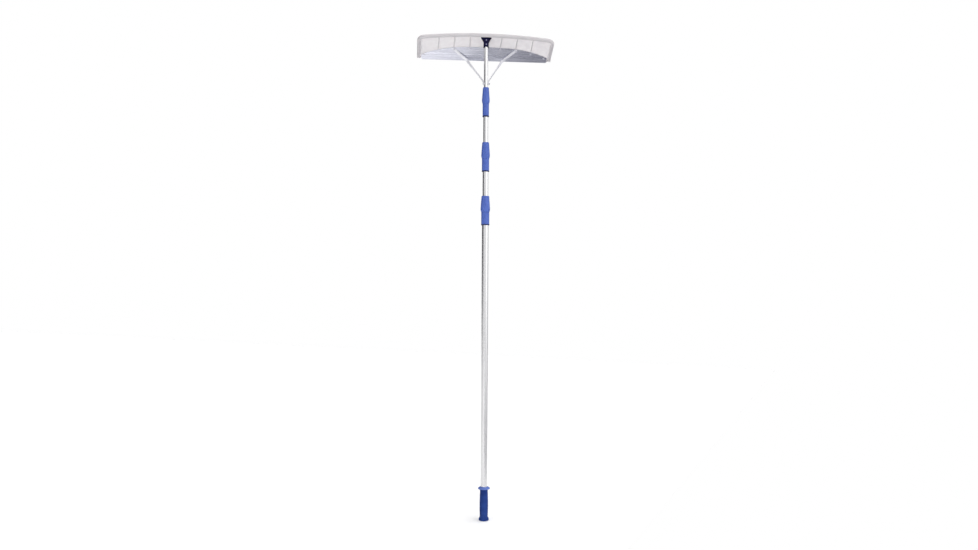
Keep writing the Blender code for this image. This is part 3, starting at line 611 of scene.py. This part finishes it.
def makeGrip():
    look = gripLook
    low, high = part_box("grip_sleeve")
    guard = boxRadius("grip_sleeve")
    heel = look["heel"]
    tube = boxRadius("tube_1") + 0.3 * mm
    plug = boxRadius("butt_plug") + 0.3 * mm
    outline = roundedOutline([
        (plug, low.z, 0.6 * mm),
        (heel - 0.4 * mm, low.z, 2.6 * mm),
        (heel, 6 * mm, 3 * mm),
        (heel - 0.6 * mm, 10 * mm, 2 * mm),
        (look["radius"] - look["lowWaist"], look["heelTop"], 4 * mm),
        (look["radius"] + look["swell"], 74 * mm, 45 * mm),
        (look["radius"] - look["topWaist"], look["neck"], 2 * mm),
        (guard - 1.2 * mm, look["guardMiddle"] - 2.6 * mm, 1.6 * mm),
        (guard, look["guardMiddle"], 1.6 * mm),
        (guard - 1.4 * mm, look["guardMiddle"] + 2.4 * mm, 1.6 * mm),
        (tube + 2.6 * mm, high.z - 1.2 * mm, 2.4 * mm),
        (tube + 1.4 * mm, high.z, 0.5 * mm),
        (tube, high.z, 0.3 * mm),
        (tube, look["plugStep"], 0),
        (plug, look["plugStep"], 0),
    ], 6)
    handLow = look["heelTop"] + 6 * mm
    handHigh = look["neck"] - 8 * mm

    def moulded(radius, height, angle):
        if radius < tube + 0.5 * mm:
            return radius, height
        part = smooth((height - handLow) / (8 * mm)) * smooth((handHigh - height) / (8 * mm))
        wave = 0.5 - 0.5 * math.cos(look["flutes"] * angle)
        return radius - look["fluteDepth"] * part * wave**2, height

    bm = bmesh.new()
    turn(bm, denser(outline, look["longestStep"]), look["steps"], moulded)
    # The guard's top slope is painted paler here, as a painted highlight.
    highlightFoot = look["guardMiddle"] - look["guardHighlightBelow"]
    storeShare(bm, "guardHighlightShare", lambda height: smooth((height - highlightFoot) / look["guardHighlightFade"]))
    addPiece("handGrip", bm, gripBlue, "handle", ["grip_sleeve"], 60)


def makeButtPlug():
    low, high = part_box("butt_plug")
    radius = boxRadius("butt_plug")
    tube = boxRadius("tube_1")
    outline = roundedOutline([
        (0, low.z + 0.8 * mm, 0), (5 * mm, low.z + 0.8 * mm, 0.3 * mm), (5.6 * mm, low.z, 0.3 * mm),
        (radius, low.z, 0.9 * mm), (radius, 8.5 * mm, 0.4 * mm), (tube, 8.5 * mm, 0.2 * mm),
        (tube, 11.7 * mm, 0.2 * mm), (tube - 1.5 * mm, 11.7 * mm, 0), (tube - 1.5 * mm, high.z, 0.8 * mm),
        (0, high.z, 0),
    ])
    bm = bmesh.new()
    turn(bm, outline, 72)
    addPiece("buttPlugFine", bm, blackPlastic, "handle", ["butt_plug"], 50)


makeGrip()
makeButtPlug()
print("grip made")


# Blade section at the middle as (Y, Z), and how it changes towards the ends.
bladeLook = {
    "topEdge": Vector((-30 * mm, 2244 * mm)),
    "crease": Vector((55 * mm, 2208.5 * mm)),
    "cuttingEdge": Vector((95 * mm, 2157 * mm)),
    "topEdgeDrop": 18 * mm,
    "creaseFall": 0.6,
    "creaseFallHalf": 286 * mm,
    "creaseFallPower": 3.0,
    "creaseRound": 7 * mm,
    "thickness": 3.2 * mm,
    "corner": 30 * mm,
    "rimWidth": 17 * mm,
    "rimHeight": 9.5 * mm,
    "rimRise": 4.4 * mm,         # it rises over this width, holds to the crown and drops to its edge
    "rimCrown": 10.5 * mm,
    "rimDrop": 0.72,
    "rimDropPower": 2.6,
    "ribPitch": 73 * mm,
    "ribHeight": 4.4 * mm,
    "ribTopHalf": 1.3 * mm,
    "ribFootHalf": 3.4 * mm,
    "ribShade": 0.85,             # how far a rib goes to the painted shade of the thick moulding
    "topRimShade": 0.76,
    "columnStep": 4.5 * mm,
    "wallRows": 14,
    "facetRows": 9,
}
half = (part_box("blade_shell")[1].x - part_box("blade_shell")[0].x) / 2
facetUp = (bladeLook["crease"] - bladeLook["cuttingEdge"]).normalized()
facetFront = Vector((-facetUp.y, facetUp.x))
inner = half - bladeLook["rimWidth"]
innerCorner = bladeLook["corner"] - bladeLook["rimWidth"]


def creaseHeight(x):
    look = bladeLook
    middle = (look["crease"] - look["cuttingEdge"]).length
    return middle * (1 - look["creaseFall"] * (abs(x) / look["creaseFallHalf"]) ** look["creaseFallPower"])


def facetPoint(x, up, front):
    place = bladeLook["cuttingEdge"] + facetUp * up + facetFront * front
    return Vector((x, place.x, place.y))


def wallEnds(x):
    top = bladeLook["topEdge"] - Vector((0, bladeLook["topEdgeDrop"] * (x / half) ** 2))
    return top, bladeLook["cuttingEdge"] + facetUp * creaseHeight(x)


def wallLength(x):
    top, crease = wallEnds(x)
    return (crease - top).length


def bladePoint(x, distance):
    # Middle of the sheet, by the distance down the section; the crease is a small round.
    top, crease = wallEnds(x)
    wall = (crease - top).length
    down = (crease - top) / wall
    bend = bladeLook["creaseRound"]
    if distance <= wall - bend:
        place = top + down * distance
    elif distance < wall + bend:
        part = (distance - wall + bend) / (2 * bend)
        start = crease - down * bend
        end = crease - facetUp * bend
        place = start.lerp(crease, part).lerp(crease.lerp(end, part), part)
    else:
        place = crease - facetUp * (distance - wall)
    return Vector((x, place.x, place.y))


def bladeNormal(x, distance):
    step = 1 * mm
    across = bladePoint(x + step, distance) - bladePoint(x - step, distance)
    along = bladePoint(x, distance + step) - bladePoint(x, distance - step)
    return -along.cross(across).normalized()


ribPlaces = [k * bladeLook["ribPitch"] for k in (-3, -2, -1, 1, 2, 3)]


def ribShare(x):
    # 1 on a rib's flat top and 0 on the panel, with rounded flanks.
    top, foot = bladeLook["ribTopHalf"], bladeLook["ribFootHalf"]
    near = min(abs(x - rib) for rib in ribPlaces)
    return smooth((foot - near) / (foot - top))


def bladeStations():
    stations = {0.0}
    reach = 5 * mm
    steps = round((inner - innerCorner) / bladeLook["columnStep"])
    for k in range(-steps, steps + 1):
        x = (inner - innerCorner) * k / steps
        if min(abs(x - rib) for rib in ribPlaces) > reach:
            stations.add(x)
    for rib in ribPlaces:
        stations.update(rib + offset * mm for offset in (-4.4, -3.4, -2.9, -2.35, -1.8, -1.3, 0, 1.3, 1.8,
                                                         2.35, 2.9, 3.4, 4.4))
    for side in (-1, 1):
        for k in range(9):
            stations.add(side * (inner - innerCorner + innerCorner * math.sin(math.pi / 16 * k)))
    stations = sorted(stations)
    return [x for k, x in enumerate(stations) if k == 0 or x - stations[k - 1] > 1e-5]


def stationStart(x):
    into = max(abs(x) - (inner - innerCorner), 0.0)
    return bladeLook["rimWidth"] + innerCorner - math.sqrt(max(innerCorner**2 - into**2, 0.0))


def stationRows(x, start):
    wall, crease, bend = wallLength(x), creaseHeight(x), bladeLook["creaseRound"]
    count = bladeLook["wallRows"]
    rows = [start + (wall - bend - start) * (k / count) ** 0.9 for k in range(count)]
    rows += [wall - bend + 2 * bend * k / 6 for k in range(6)]
    count = bladeLook["facetRows"]
    rows += [wall + bend + (crease - bend) * k / count for k in range(count + 1)]
    return rows


def rimShare(width):
    look = bladeLook
    rise = smooth(width / look["rimRise"])
    fall = max(width - look["rimCrown"], 0.0) / (look["rimWidth"] - look["rimCrown"])
    return rise * (1 - look["rimDrop"] * fall ** look["rimDropPower"])


def addSheetFaces(bm, a, b, c, d):
    # Each corner is a pair of points, on the front and the back of the sheet.
    bm.faces.new((a[0], b[0], c[0], d[0]))
    bm.faces.new((a[1], d[1], c[1], b[1]))


def closeEdge(bm, pairs):
    for pair, following in zip(pairs, pairs[1:]):
        bm.faces.new((pair[0], pair[1], following[1], following[0]))


def makeBlade():
    look = bladeLook
    stations = bladeStations()
    wallCount = look["wallRows"] + 3
    lastRow = look["wallRows"] + 6 + look["facetRows"]
    bm = bmesh.new()
    # This layer holds the painted shade that greys the rim and ribs.
    paintedShadeLayer = bm.verts.layers.float.new("rimShare")

    def addPair(x, distance, height, share):
        middle = bladePoint(x, distance)
        normal = bladeNormal(x, distance)
        front = bm.verts.new(middle - normal * (look["thickness"] / 2 + height))
        back = bm.verts.new(middle + normal * look["thickness"] / 2)
        front[paintedShadeLayer] = back[paintedShadeLayer] = share
        return front, back

    def sideShare(row):
        # The side rims run out towards the cutting edge.
        return 1 - 0.88 * smooth((row - wallCount) / (lastRow - wallCount))

    grid = []
    for x in stations:
        rows = stationRows(x, stationStart(x))
        wall = wallLength(x)
        column = []
        for distance in rows:
            fade = smooth((wall - distance - 0.5 * mm) / (7 * mm))
            rib = ribShare(x) * fade
            column.append(addPair(x, distance, look["ribHeight"] * rib, look["ribShade"] * rib))
        grid.append(column)

    # The rim follows the panel's left, top and right edges as a strip of rings.
    strip = [(grid[0][row], -1, row) for row in range(lastRow, 0, -1)]
    strip += [(column[0], 0, index) for index, column in enumerate(grid)]
    strip += [(grid[-1][row], 1, row) for row in range(1, lastRow + 1)]
    cornerX = half - look["corner"]
    widths = [0.7, 1.4, 2.1, 2.8, 3.6, 4.6, 6.5, 8.5, 10.5, 12, 13.4, 14.6, 15.6, 16.4, 17]
    rings = [[pair for pair, _, _ in strip]]
    for width in (w * mm for w in widths):
        ring = []
        for _, side, index in strip:
            if side:
                x = side * (inner + width)
                distance = stationRows(x, look["corner"])[index]
                height = look["rimHeight"] * rimShare(width) * sideShare(index)
                share = rimShare(width) * sideShare(index)
            else:
                baseX = stations[index]
                base = stationStart(baseX)
                direction = Vector((0, -1))
                if abs(baseX) > cornerX:
                    centre = Vector((math.copysign(cornerX, baseX), look["corner"]))
                    direction = (Vector((baseX, base)) - centre).normalized()
                x = baseX + direction.x * width
                distance = base + direction.y * width
                height = look["rimHeight"] * rimShare(width)
                share = rimShare(width)
            # The painted shade is strongest on the side rims; the top rim takes less of it.
            tone = max(share, smooth(width / (3 * mm))) * (1 if side else look["topRimShade"])
            ring.append(addPair(x, distance, height, tone))
        rings.append(ring)

    for left, right in zip(grid, grid[1:]):
        for row in range(lastRow):
            addSheetFaces(bm, left[row], right[row], right[row + 1], left[row + 1])
    for innerRing, outerRing in zip(rings, rings[1:]):
        for k in range(len(innerRing) - 1):
            addSheetFaces(bm, outerRing[k], outerRing[k + 1], innerRing[k + 1], innerRing[k])
    lower = [ring[0] for ring in reversed(rings)]
    lower += [column[lastRow] for column in grid[1:-1]]
    lower += [ring[-1] for ring in rings]
    closeEdge(bm, lower)
    closeEdge(bm, rings[-1])
    blade = addPiece("bladePanel", bm, frostedPoly, "head", ["blade_shell"], 50)
    softenEdges(blade, 0.9 * mm, 50)


makeBlade()
print("blade made")


# Wear plate: brushed sheet with an arched top edge, very slightly rippled as rolled sheet is.
plateLook = {
    "half": 298 * mm,
    "thickness": 1.5 * mm,
    "overhang": 5 * mm,
    "belowCrease": 2.5 * mm,
    "ripple": 0.14 * mm,
    "cornerCut": 4 * mm,
    "columns": 120,
    "rows": 16,
}
plateFront = bladeLook["thickness"] / 2 + 0.3 * mm + plateLook["thickness"]


def makeWearPlate():
    look = plateLook
    bm = bmesh.new()
    grid = []
    for k in range(look["columns"] + 1):
        x = look["half"] * (2 * k / look["columns"] - 1)
        low = -look["overhang"]
        toEnd = look["half"] - abs(x)
        if toEnd < look["cornerCut"]:
            low += look["cornerCut"] - math.sqrt(look["cornerCut"] ** 2 - (look["cornerCut"] - toEnd) ** 2)
        high = creaseHeight(x) - look["belowCrease"]
        column = []
        for row in range(look["rows"] + 1):
            up = low + (high - low) * row / look["rows"]
            calm = smooth(row / 3) * smooth((look["rows"] - row) / 3)
            ripple = look["ripple"] * calm * (math.sin(x * 21 + 0.7) + 0.6 * math.sin(x * 47 - up * 60))
            front = bm.verts.new(facetPoint(x, up, plateFront + ripple * 0.5))
            back = bm.verts.new(facetPoint(x, up, plateFront - look["thickness"]))
            column.append((front, back))
        grid.append(column)
    for left, right in zip(grid, grid[1:]):
        for row in range(look["rows"]):
            addSheetFaces(bm, left[row], right[row], right[row + 1], left[row + 1])
    for edge in ([column[0] for column in grid], [column[-1] for column in grid], grid[0], grid[-1]):
        closeEdge(bm, edge)
    plate = addPiece("wearPlateFine", bm, brushedSheet, "head", ["wear_plate"])
    softenEdges(plate, 0.3 * mm, 50, 2)


makeWearPlate()
print("wear plate made")


# Fasteners: turned shanks and heads, with drive recesses pressed into the head.
fastenerLook = {
    "steps": 48,
    "sharpAngle": 38,
    "rivetHead": 4.6 * mm,
    "rivetHeight": 1.6 * mm,
    "mandrel": 1.5 * mm,
    "endRivet": 284 * mm,
    "rivetBelowCrease": 10 * mm,
    "crossHalf": 0.55 * mm,
    "crossReach": 2.1 * mm,
    "recessDepth": 1.1 * mm,
    "socketFlat": 1.6 * mm,
}
facetWay = facetPoint(0, 0, 1) - facetPoint(0, 0, 0)


def crossRecess(x, y):
    look = fastenerLook
    arms = []
    for along, across in ((x, y), (y, x)):
        inside = smooth((look["crossHalf"] + 0.2 * mm - abs(across)) / (0.25 * mm))
        arms.append(inside * smooth((look["crossReach"] - abs(along)) / (0.9 * mm)))
    return max(arms)


def socketRecess(x, y):
    flat = fastenerLook["socketFlat"]
    turns = (0, math.pi / 3, -math.pi / 3)
    away = max(abs(x * math.cos(turned) + y * math.sin(turned)) for turned in turns)
    return 1.3 * smooth((flat - away) / (0.25 * mm))


def mandrelRecess(x, y):
    return 0.5 * smooth((fastenerLook["mandrel"] - math.hypot(x, y)) / (0.4 * mm))


def makeHeaded(name, node, place, sizes, recess, finish=platedSteel):
    shank, head, height, seat, end = sizes
    outline = roundedOutline([
        (0, end, 0), (shank - 0.4 * mm, end, 0), (shank, end + 0.4 * mm, 0), (shank, seat, 0),
        (head, seat, 0.2 * mm), (head, seat + 0.42 * height, 0.8 * mm),
        (head * 0.66, seat + height, head * 0.3), (0, seat + height, 0),
    ], 6)
    outline = denser(outline, 0.22 * mm) if recess else outline
    outline = [point for point in outline if point.x > 1e-6 or point.y in (end, seat + height)]

    def pressed(radius, level, angle):
        if recess and level > seat + 0.5 * height:
            x, y = radius * math.cos(angle), radius * math.sin(angle)
            level -= fastenerLook["recessDepth"] * recess(x, y)
        return radius, level

    bm = bmesh.new()
    turn(bm, outline, fastenerLook["steps"], pressed)
    addPiece(name, bm, finish, "head", [node], fastenerLook["sharpAngle"], place)


def makeRing(name, node, place, bore, outside, low, high, hexagon=False):
    # A washer, or a nut whose corners are turned off at both faces.
    rounding = 0.25 * mm
    outline = roundedOutline([
        (bore, low, rounding), (outside, low, rounding), (outside, high, rounding), (bore, high, rounding),
    ], 3)
    outline = denser(outline, 0.35 * mm)

    def hexagonal(radius, level, angle):
        if not hexagon or radius < bore + 0.4 * mm:
            return radius, level
        flat = outside * math.cos(math.pi / 6) / math.cos(angle % (math.pi / 3) - math.pi / 6)
        toFace = min(level - low, high - level)
        turned = outside - 0.55 * mm + math.sqrt(max(toFace, 0.0) * 0.9 * mm)
        return min(radius, flat, turned), level

    bm = bmesh.new()
    turn(bm, outline, 72, hexagonal)
    addPiece(name, bm, platedSteel, "head", [node], fastenerLook["sharpAngle"], place)


def makePlateFasteners():
    # One at the foot of each rib that has no brace on it, and one towards each end.
    look = fastenerLook
    onRibs = [k * bladeLook["ribPitch"] for k in (-3, -1, 0, 1, 3)]
    back = -bladeLook["thickness"] / 2 - 0.3 * mm
    for number, x in enumerate([-look["endRivet"]] + onRibs + [look["endRivet"]], 1):
        place = facing(facetPoint(x, creaseHeight(x) - look["rivetBelowCrease"], 0), facetWay)
        sizes = (2.2 * mm, look["rivetHead"], look["rivetHeight"], plateFront + 0.3 * mm, back)
        makeHeaded(f"plateRivet{number}", f"plate_rivet_{number}", place, sizes, mandrelRecess)


makePlateFasteners()


# Braces: flat strips, bent, twisted and bolted at both ends.
braceLook = {
    "width": 12 * mm,
    "thickness": 2.5 * mm,
    "edgeRound": 0.7 * mm,
    "boltHeight": 2022 * mm,
    "bend": (84 * mm, 2 * mm, 16 * mm),
    "foot": (146 * mm, 50 * mm),
    "tab": 9 * mm,
    "footRun": 80 * mm,
    "twistLength": 80 * mm,
    "longestStep": 4 * mm,
}


def makeFootFasteners():
    seat = plateFront + 0.3 * mm + braceLook["thickness"] + 0.3 * mm
    back = -bladeLook["thickness"] / 2
    for number, side in ((1, -1), (2, 1)):
        place = facing(facetPoint(side * braceLook["foot"][0], braceLook["foot"][1], 0), facetWay)
        sizes = (2.5 * mm, 5 * mm, 2.6 * mm, seat, back - 7.5 * mm)
        makeHeaded(f"footBolt{number}", f"brace_foot_bolt_{number}", place, sizes, socketRecess)
        nutHigh = back - 0.3 * mm
        makeRing(f"footNut{number}", f"brace_foot_nut_{number}", place, 2.7 * mm, 4.9 * mm,
                 nutHigh - 4 * mm, nutHigh, True)


def makePoleBolt():
    seat = boxRadius("tube_4") + 0.3 * mm + braceLook["thickness"] + 0.3 * mm
    place = facing((0, 0, braceLook["boltHeight"]), (-1, 0, 0))
    sizes = (3 * mm, 5.4 * mm, 2.6 * mm, seat, -(seat + 7 * mm))
    makeHeaded("poleBolt", "brace_pole_bolt", place, sizes, socketRecess)
    makeRing("poleWasher", "brace_pole_washer", place, 3.2 * mm, 5.8 * mm, -seat - 1 * mm, -seat)
    high = -seat - 1.3 * mm
    makeRing("poleNut", "brace_pole_nut", place, 3.2 * mm, 5.8 * mm, high - 4.2 * mm, high, True)


def roundedRoute(points, radii):
    route = [points[0]]
    for before, corner, after, radius in zip(points, points[1:], points[2:], radii):
        start = corner + (before - corner).normalized() * radius
        end = corner + (after - corner).normalized() * radius
        for k in range(9):
            low = start.lerp(corner, k / 8)
            route.append(low.lerp(corner.lerp(end, k / 8), k / 8))
    route.append(points[-1])
    filled = [route[0]]
    for start, end in zip(route, route[1:]):
        steps = max(1, round((end - start).length / braceLook["longestStep"]))
        filled += [start.lerp(end, k / steps) for k in range(1, steps + 1)]
    return filled


def stripSection():
    # One turn round the strip's section as (across, deep), in shares of its half sizes, edges rounded.
    width, thickness, rounding = braceLook["width"], braceLook["thickness"], braceLook["edgeRound"]
    section = []
    for signX, signY, startAngle in ((1, 1, 0), (-1, 1, 90), (-1, -1, 180), (1, -1, 270)):
        for k in range(4):
            angle = math.radians(startAngle + 30 * k)
            section.append((signX * (width / 2 - rounding) + rounding * math.cos(angle),
                            signY * (thickness / 2 - rounding) + rounding * math.sin(angle)))
    return section


def makeBrace(name, node, side):
    look = braceLook
    tabX = boxRadius("tube_4") + 0.3 * mm + look["thickness"] / 2
    bend = facetPoint(*look["bend"])
    foot = facetPoint(*look["foot"], plateFront + 0.3 * mm + look["thickness"] / 2)
    run = Vector((look["foot"][0] - look["bend"][0], look["foot"][1] - look["bend"][1])).normalized()
    footWay = facetPoint(run.x, run.y, 0) - facetPoint(0, 0, 0)
    bolt = Vector((tabX, 0, look["boltHeight"]))
    tabWay = Vector((0, bend.y, bend.z - look["boltHeight"])).normalized()
    route = roundedRoute([
        bolt - tabWay * look["tab"],
        bolt + tabWay * (look["tab"] + 4 * mm),
        bend,
        foot - footWay * 12 * mm,
        foot + footWay * 8 * mm,
    ], [4 * mm, 12 * mm, 8 * mm])
    tabSide = tabWay.cross(Vector((1, 0, 0)))
    footSide = footWay.cross(facetWay).normalized()
    if tabSide.dot(footSide) < 0:
        footSide.negate()
    lengths = [0.0]
    for start, end in zip(route, route[1:]):
        lengths.append(lengths[-1] + (end - start).length)
    twistEnd = lengths[-1] - look["footRun"]
    twistStart = twistEnd - look["twistLength"]
    half = look["width"] / 2
    ends = [half * (1 - math.cos(math.pi / 16 * k)) for k in range(8)]

    def ringAt(length):
        k = 1
        while k < len(route) - 1 and lengths[k] < length:
            k += 1
        part = (length - lengths[k - 1]) / (lengths[k] - lengths[k - 1])
        place = route[k - 1].lerp(route[k], part)
        way = (route[min(k + 1, len(route) - 1)] - route[max(k - 2, 0)]).normalized()
        twist = smooth((length - twistStart) / (twistEnd - twistStart))
        across = tabSide.lerp(footSide, twist)
        across = (across - way * across.dot(way)).normalized()
        deep = way.cross(across).normalized()
        toEnd = min(length, lengths[-1] - length)
        narrow = math.sqrt(max(half**2 - max(half - toEnd, 0) ** 2, (0.14 * half) ** 2)) / half
        return [bm.verts.new(place + across * a * narrow + deep * d) for a, d in stripSection()]

    bm = bmesh.new()
    stations = ends + [length for length in lengths if half < length < lengths[-1] - half]
    stations += [lengths[-1] - length for length in reversed(ends)]
    previous = None
    for length in stations:
        ring = ringAt(length)
        if previous:
            for j in range(len(ring)):
                bm.faces.new((previous[j - 1], previous[j], ring[j], ring[j - 1]))
        else:
            bm.faces.new(ring)
        previous = ring
    bm.faces.new(previous)
    if side < 0:
        bmesh.ops.scale(bm, vec=(-1, 1, 1), verts=bm.verts)
    addPiece(name, bm, stripMetal, "head", [node], 50)


makeFootFasteners()
makePoleBolt()
makeBrace("braceLeft", "brace_left", -1)
makeBrace("braceRight", "brace_right", 1)
print("braces made")


# Head bracket: one moulding, so its inner corners are filleted.
bracketLook = {
    "voxel": 0.55 * mm,
    "smoothing": 7,
    "screwHeights": (2200.5 * mm, 2220 * mm),
    "screwHead": 3.2 * mm,
    "sleeve": 12.5 * mm,
    "padScrews": ((-14 * mm, 27 * mm), (14 * mm, 27 * mm), (0, 61 * mm)),
}


def makeBracket():
    bm = bmesh.new()
    bm.from_mesh(nodes["head_bracket"].data)
    bmesh.ops.remove_doubles(bm, verts=bm.verts, dist=1e-6)
    bracket = addPiece("headBracket", bm, navyMoulding, "head", ["head_bracket"])
    remesh = bracket.modifiers.new("mould", "REMESH")
    remesh.mode = "VOXEL"
    remesh.voxel_size = bracketLook["voxel"]
    remesh.use_smooth_shade = True
    fillets = bracket.modifiers.new("fillets", "SMOOTH")
    fillets.factor = 0.5
    fillets.iterations = bracketLook["smoothing"]


def makeBracketScrews():
    front = bracketLook["sleeve"] + 0.3 * mm
    for number, height in enumerate(bracketLook["screwHeights"], 1):
        sizes = (2 * mm, bracketLook["screwHead"], 1.8 * mm, front, 4 * mm)
        place = facing((0, 0, height), (0, -1, 0))
        makeHeaded(f"bracketScrew{number}", f"bracket_screw_{number}", place, sizes, crossRecess, dullSteel)
    top, crease = wallEnds(0)
    down = (crease - top).normalized()
    back = Vector((0, -down.y, down.x))
    seat = bladeLook["thickness"] / 2 + 0.3 * mm
    for number, (x, distance) in enumerate(bracketLook["padScrews"], 1):
        place = top + down * distance
        sizes = (2.5 * mm, 5 * mm, 2.4 * mm, seat, -(seat + 4 * mm))
        makeHeaded(f"padScrew{number}", f"pad_screw_{number}",
                   facing((x, place.x, place.y), back if back.z > 0 else -back), sizes, crossRecess)


makeBracket()
makeBracketScrews()
print("bracket made")

# What stays hidden in the pole keeps its own shape and takes a worked finish.
for number in (1, 2, 3):
    finishes = {f"collar_{number}_collet": naturalNylon, f"end_bush_{number + 1}": blackPlastic}
    for node, material in finishes.items():
        nodes[node].data.materials.clear()
        nodes[node].data.materials.append(material)
print("inner pieces finished")


# Pale floor, soft light and the camera.
stageLook = {
    "floorHalf": 8.0,
    "floorEdge": (0.06, -1.3),    # its front edge passes here, so the plate mirrors it and the dark
    "floorTurn": 60.0,
    "floorColour": (0.97, 0.97, 0.97),
    "leftSky": (0.03, 0.03, 0.04),
    "frontSky": (1.0, 1.0, 1.0),
    "rightSky": (1.45, 1.45, 1.45),
    "backSky": (0.2, 0.2, 0.21),
    "underSky": (0.16, 0.16, 0.195),
    "sunWay": (-0.12, -0.2, -1),
    "sunStrength": 1.15,
    "sunSpread": 60,
    "lights": {                   # place, aim, size and power
        "lowLeft": ((-0.14, -0.98, 0.5), (-0.2, 0.08, 2.17), (0.32, 0.5), 0.35),
        "rightFront": ((2.6, -2.6, 2.4), (0, 0, 1.4), (1.6, 2.6), 14),
        "lowFill": ((0.3, -2.4, 0.35), (0, 0.05, 2.2), (2.4, 1.0), 18),
    },
}


def makeFloor():
    bm = bmesh.new()
    bmesh.ops.create_grid(bm, x_segments=8, y_segments=8, size=stageLook["floorHalf"])
    mesh = bpy.data.meshes.new("floor")
    bm.to_mesh(mesh)
    bm.free()
    floor = addObject("floor", mesh)
    turned = math.radians(stageLook["floorTurn"])
    inward = Vector((-math.sin(turned), math.cos(turned)))
    middle = Vector(stageLook["floorEdge"]) + inward * stageLook["floorHalf"]
    floor.location = (middle.x, middle.y, cadLow.z - 0.2 * mm)
    floor.rotation_euler.z = turned
    colour = stageLook["floorColour"]
    material, tree, shader = startMaterial("paleFloor", colour, {"Roughness": 0.8})
    place = objectPlace(tree)
    fleck = remap(tree, noiseAt(tree, place, 3.0, 5.0), 0.3, 0.7, 0.0, 0.12)
    paler = mixColours(tree, fleck, (*colour, 1), (1.0, 1.0, 1.0, 1))
    tree.links.new(paler, shader.inputs["Base Color"])
    mesh.materials.append(material)


def makeSky():
    world = bpy.data.worlds.new("studio")
    bpy.context.scene.world = world
    world.use_nodes = True
    tree = world.node_tree
    tree.nodes.clear()
    place = tree.nodes.new("ShaderNodeTexCoord").outputs["Generated"]
    parts = tree.nodes.new("ShaderNodeSeparateXYZ")
    tree.links.new(place, parts.inputs[0])
    toLeft = calculate(tree, "MULTIPLY", parts.outputs["X"], -0.85)
    toLeft = calculate(tree, "MULTIPLY_ADD", parts.outputs["Y"], 0.53, toLeft)
    toRight = remap(tree, parts.outputs["X"], 0.0, 0.8)
    toBack = remap(tree, parts.outputs["Y"], 0.1, 0.6)
    skyParts = ("leftSky", "frontSky", "rightSky", "backSky", "underSky")
    look = {name: (*stageLook[name], 1) for name in skyParts}
    colour = mixColours(tree, toRight, look["frontSky"], look["rightSky"])
    colour = mixColours(tree, toBack, colour, look["backSky"])
    colour = mixColours(tree, remap(tree, toLeft, 0.3, 0.7), colour, look["leftSky"])
    colour = mixColours(tree, remap(tree, parts.outputs["Z"], -0.05, -0.3), colour, look["underSky"])
    soft = tree.nodes.new("ShaderNodeBackground")
    tree.links.new(colour, soft.inputs["Color"])
    white = tree.nodes.new("ShaderNodeBackground")
    white.inputs["Color"].default_value = (1.0, 1.0, 1.0, 1)
    seen = tree.nodes.new("ShaderNodeLightPath").outputs["Is Camera Ray"]
    either = tree.nodes.new("ShaderNodeMixShader")
    tree.links.new(seen, either.inputs["Fac"])
    tree.links.new(soft.outputs[0], either.inputs[1])
    tree.links.new(white.outputs[0], either.inputs[2])
    output = tree.nodes.new("ShaderNodeOutputWorld")
    tree.links.new(either.outputs[0], output.inputs["Surface"])


def addSun(name, way, strength, spread):
    light = bpy.data.lights.new(name, "SUN")
    light.energy = strength
    light.angle = math.radians(spread)
    sun = addObject(name, light)
    sun.rotation_mode = "QUATERNION"
    sun.rotation_quaternion = Vector(way).to_track_quat("-Z", "Y")


def addLight(name, place, aim, size, power):
    light = bpy.data.lights.new(name, "AREA")
    light.shape = "RECTANGLE"
    light.size, light.size_y = size
    light.energy = power
    lamp = addObject(name, light)
    lamp.location = place
    lamp.rotation_mode = "QUATERNION"
    lamp.rotation_quaternion = (Vector(aim) - Vector(place)).to_track_quat("-Z", "Y")
    lamp.visible_camera = False
    return lamp


cameraLook = {
    "distance": 3.70,
    "azimuth": -5.3,
    "height": 1.135,
    "lens": 29.4,
    "panRight": 0.29,
    "roll": 0.29,
}


def makeCamera():
    look = cameraLook
    camera = bpy.data.cameras.new("camera")
    camera.lens = look["lens"]
    camera.sensor_width = 36
    eye = addObject("camera", camera)
    turned = math.radians(look["azimuth"])
    away = look["distance"]
    eye.location = (away * math.sin(turned), -away * math.cos(turned), look["height"])
    heading = Matrix.Rotation(turned - math.radians(look["panRight"]), 4, "Z")
    level = Matrix.Rotation(math.pi / 2, 4, "X")
    eye.rotation_mode = "QUATERNION"
    rolled = Matrix.Rotation(math.radians(look["roll"]), 4, "Z")
    eye.rotation_quaternion = (heading @ level @ rolled).to_quaternion()
    bpy.context.scene.camera = eye


makeFloor()
makeSky()
addSun("softTop", stageLook["sunWay"], stageLook["sunStrength"], stageLook["sunSpread"])
for name, values in stageLook["lights"].items():
    lamp = addLight(name, *values)
    lamp.visible_glossy = name != "lowFill"   # the fill only lifts the blade's underside
makeCamera()
bpy.context.scene.view_settings.view_transform = "Standard"
print("stage, light and camera made")
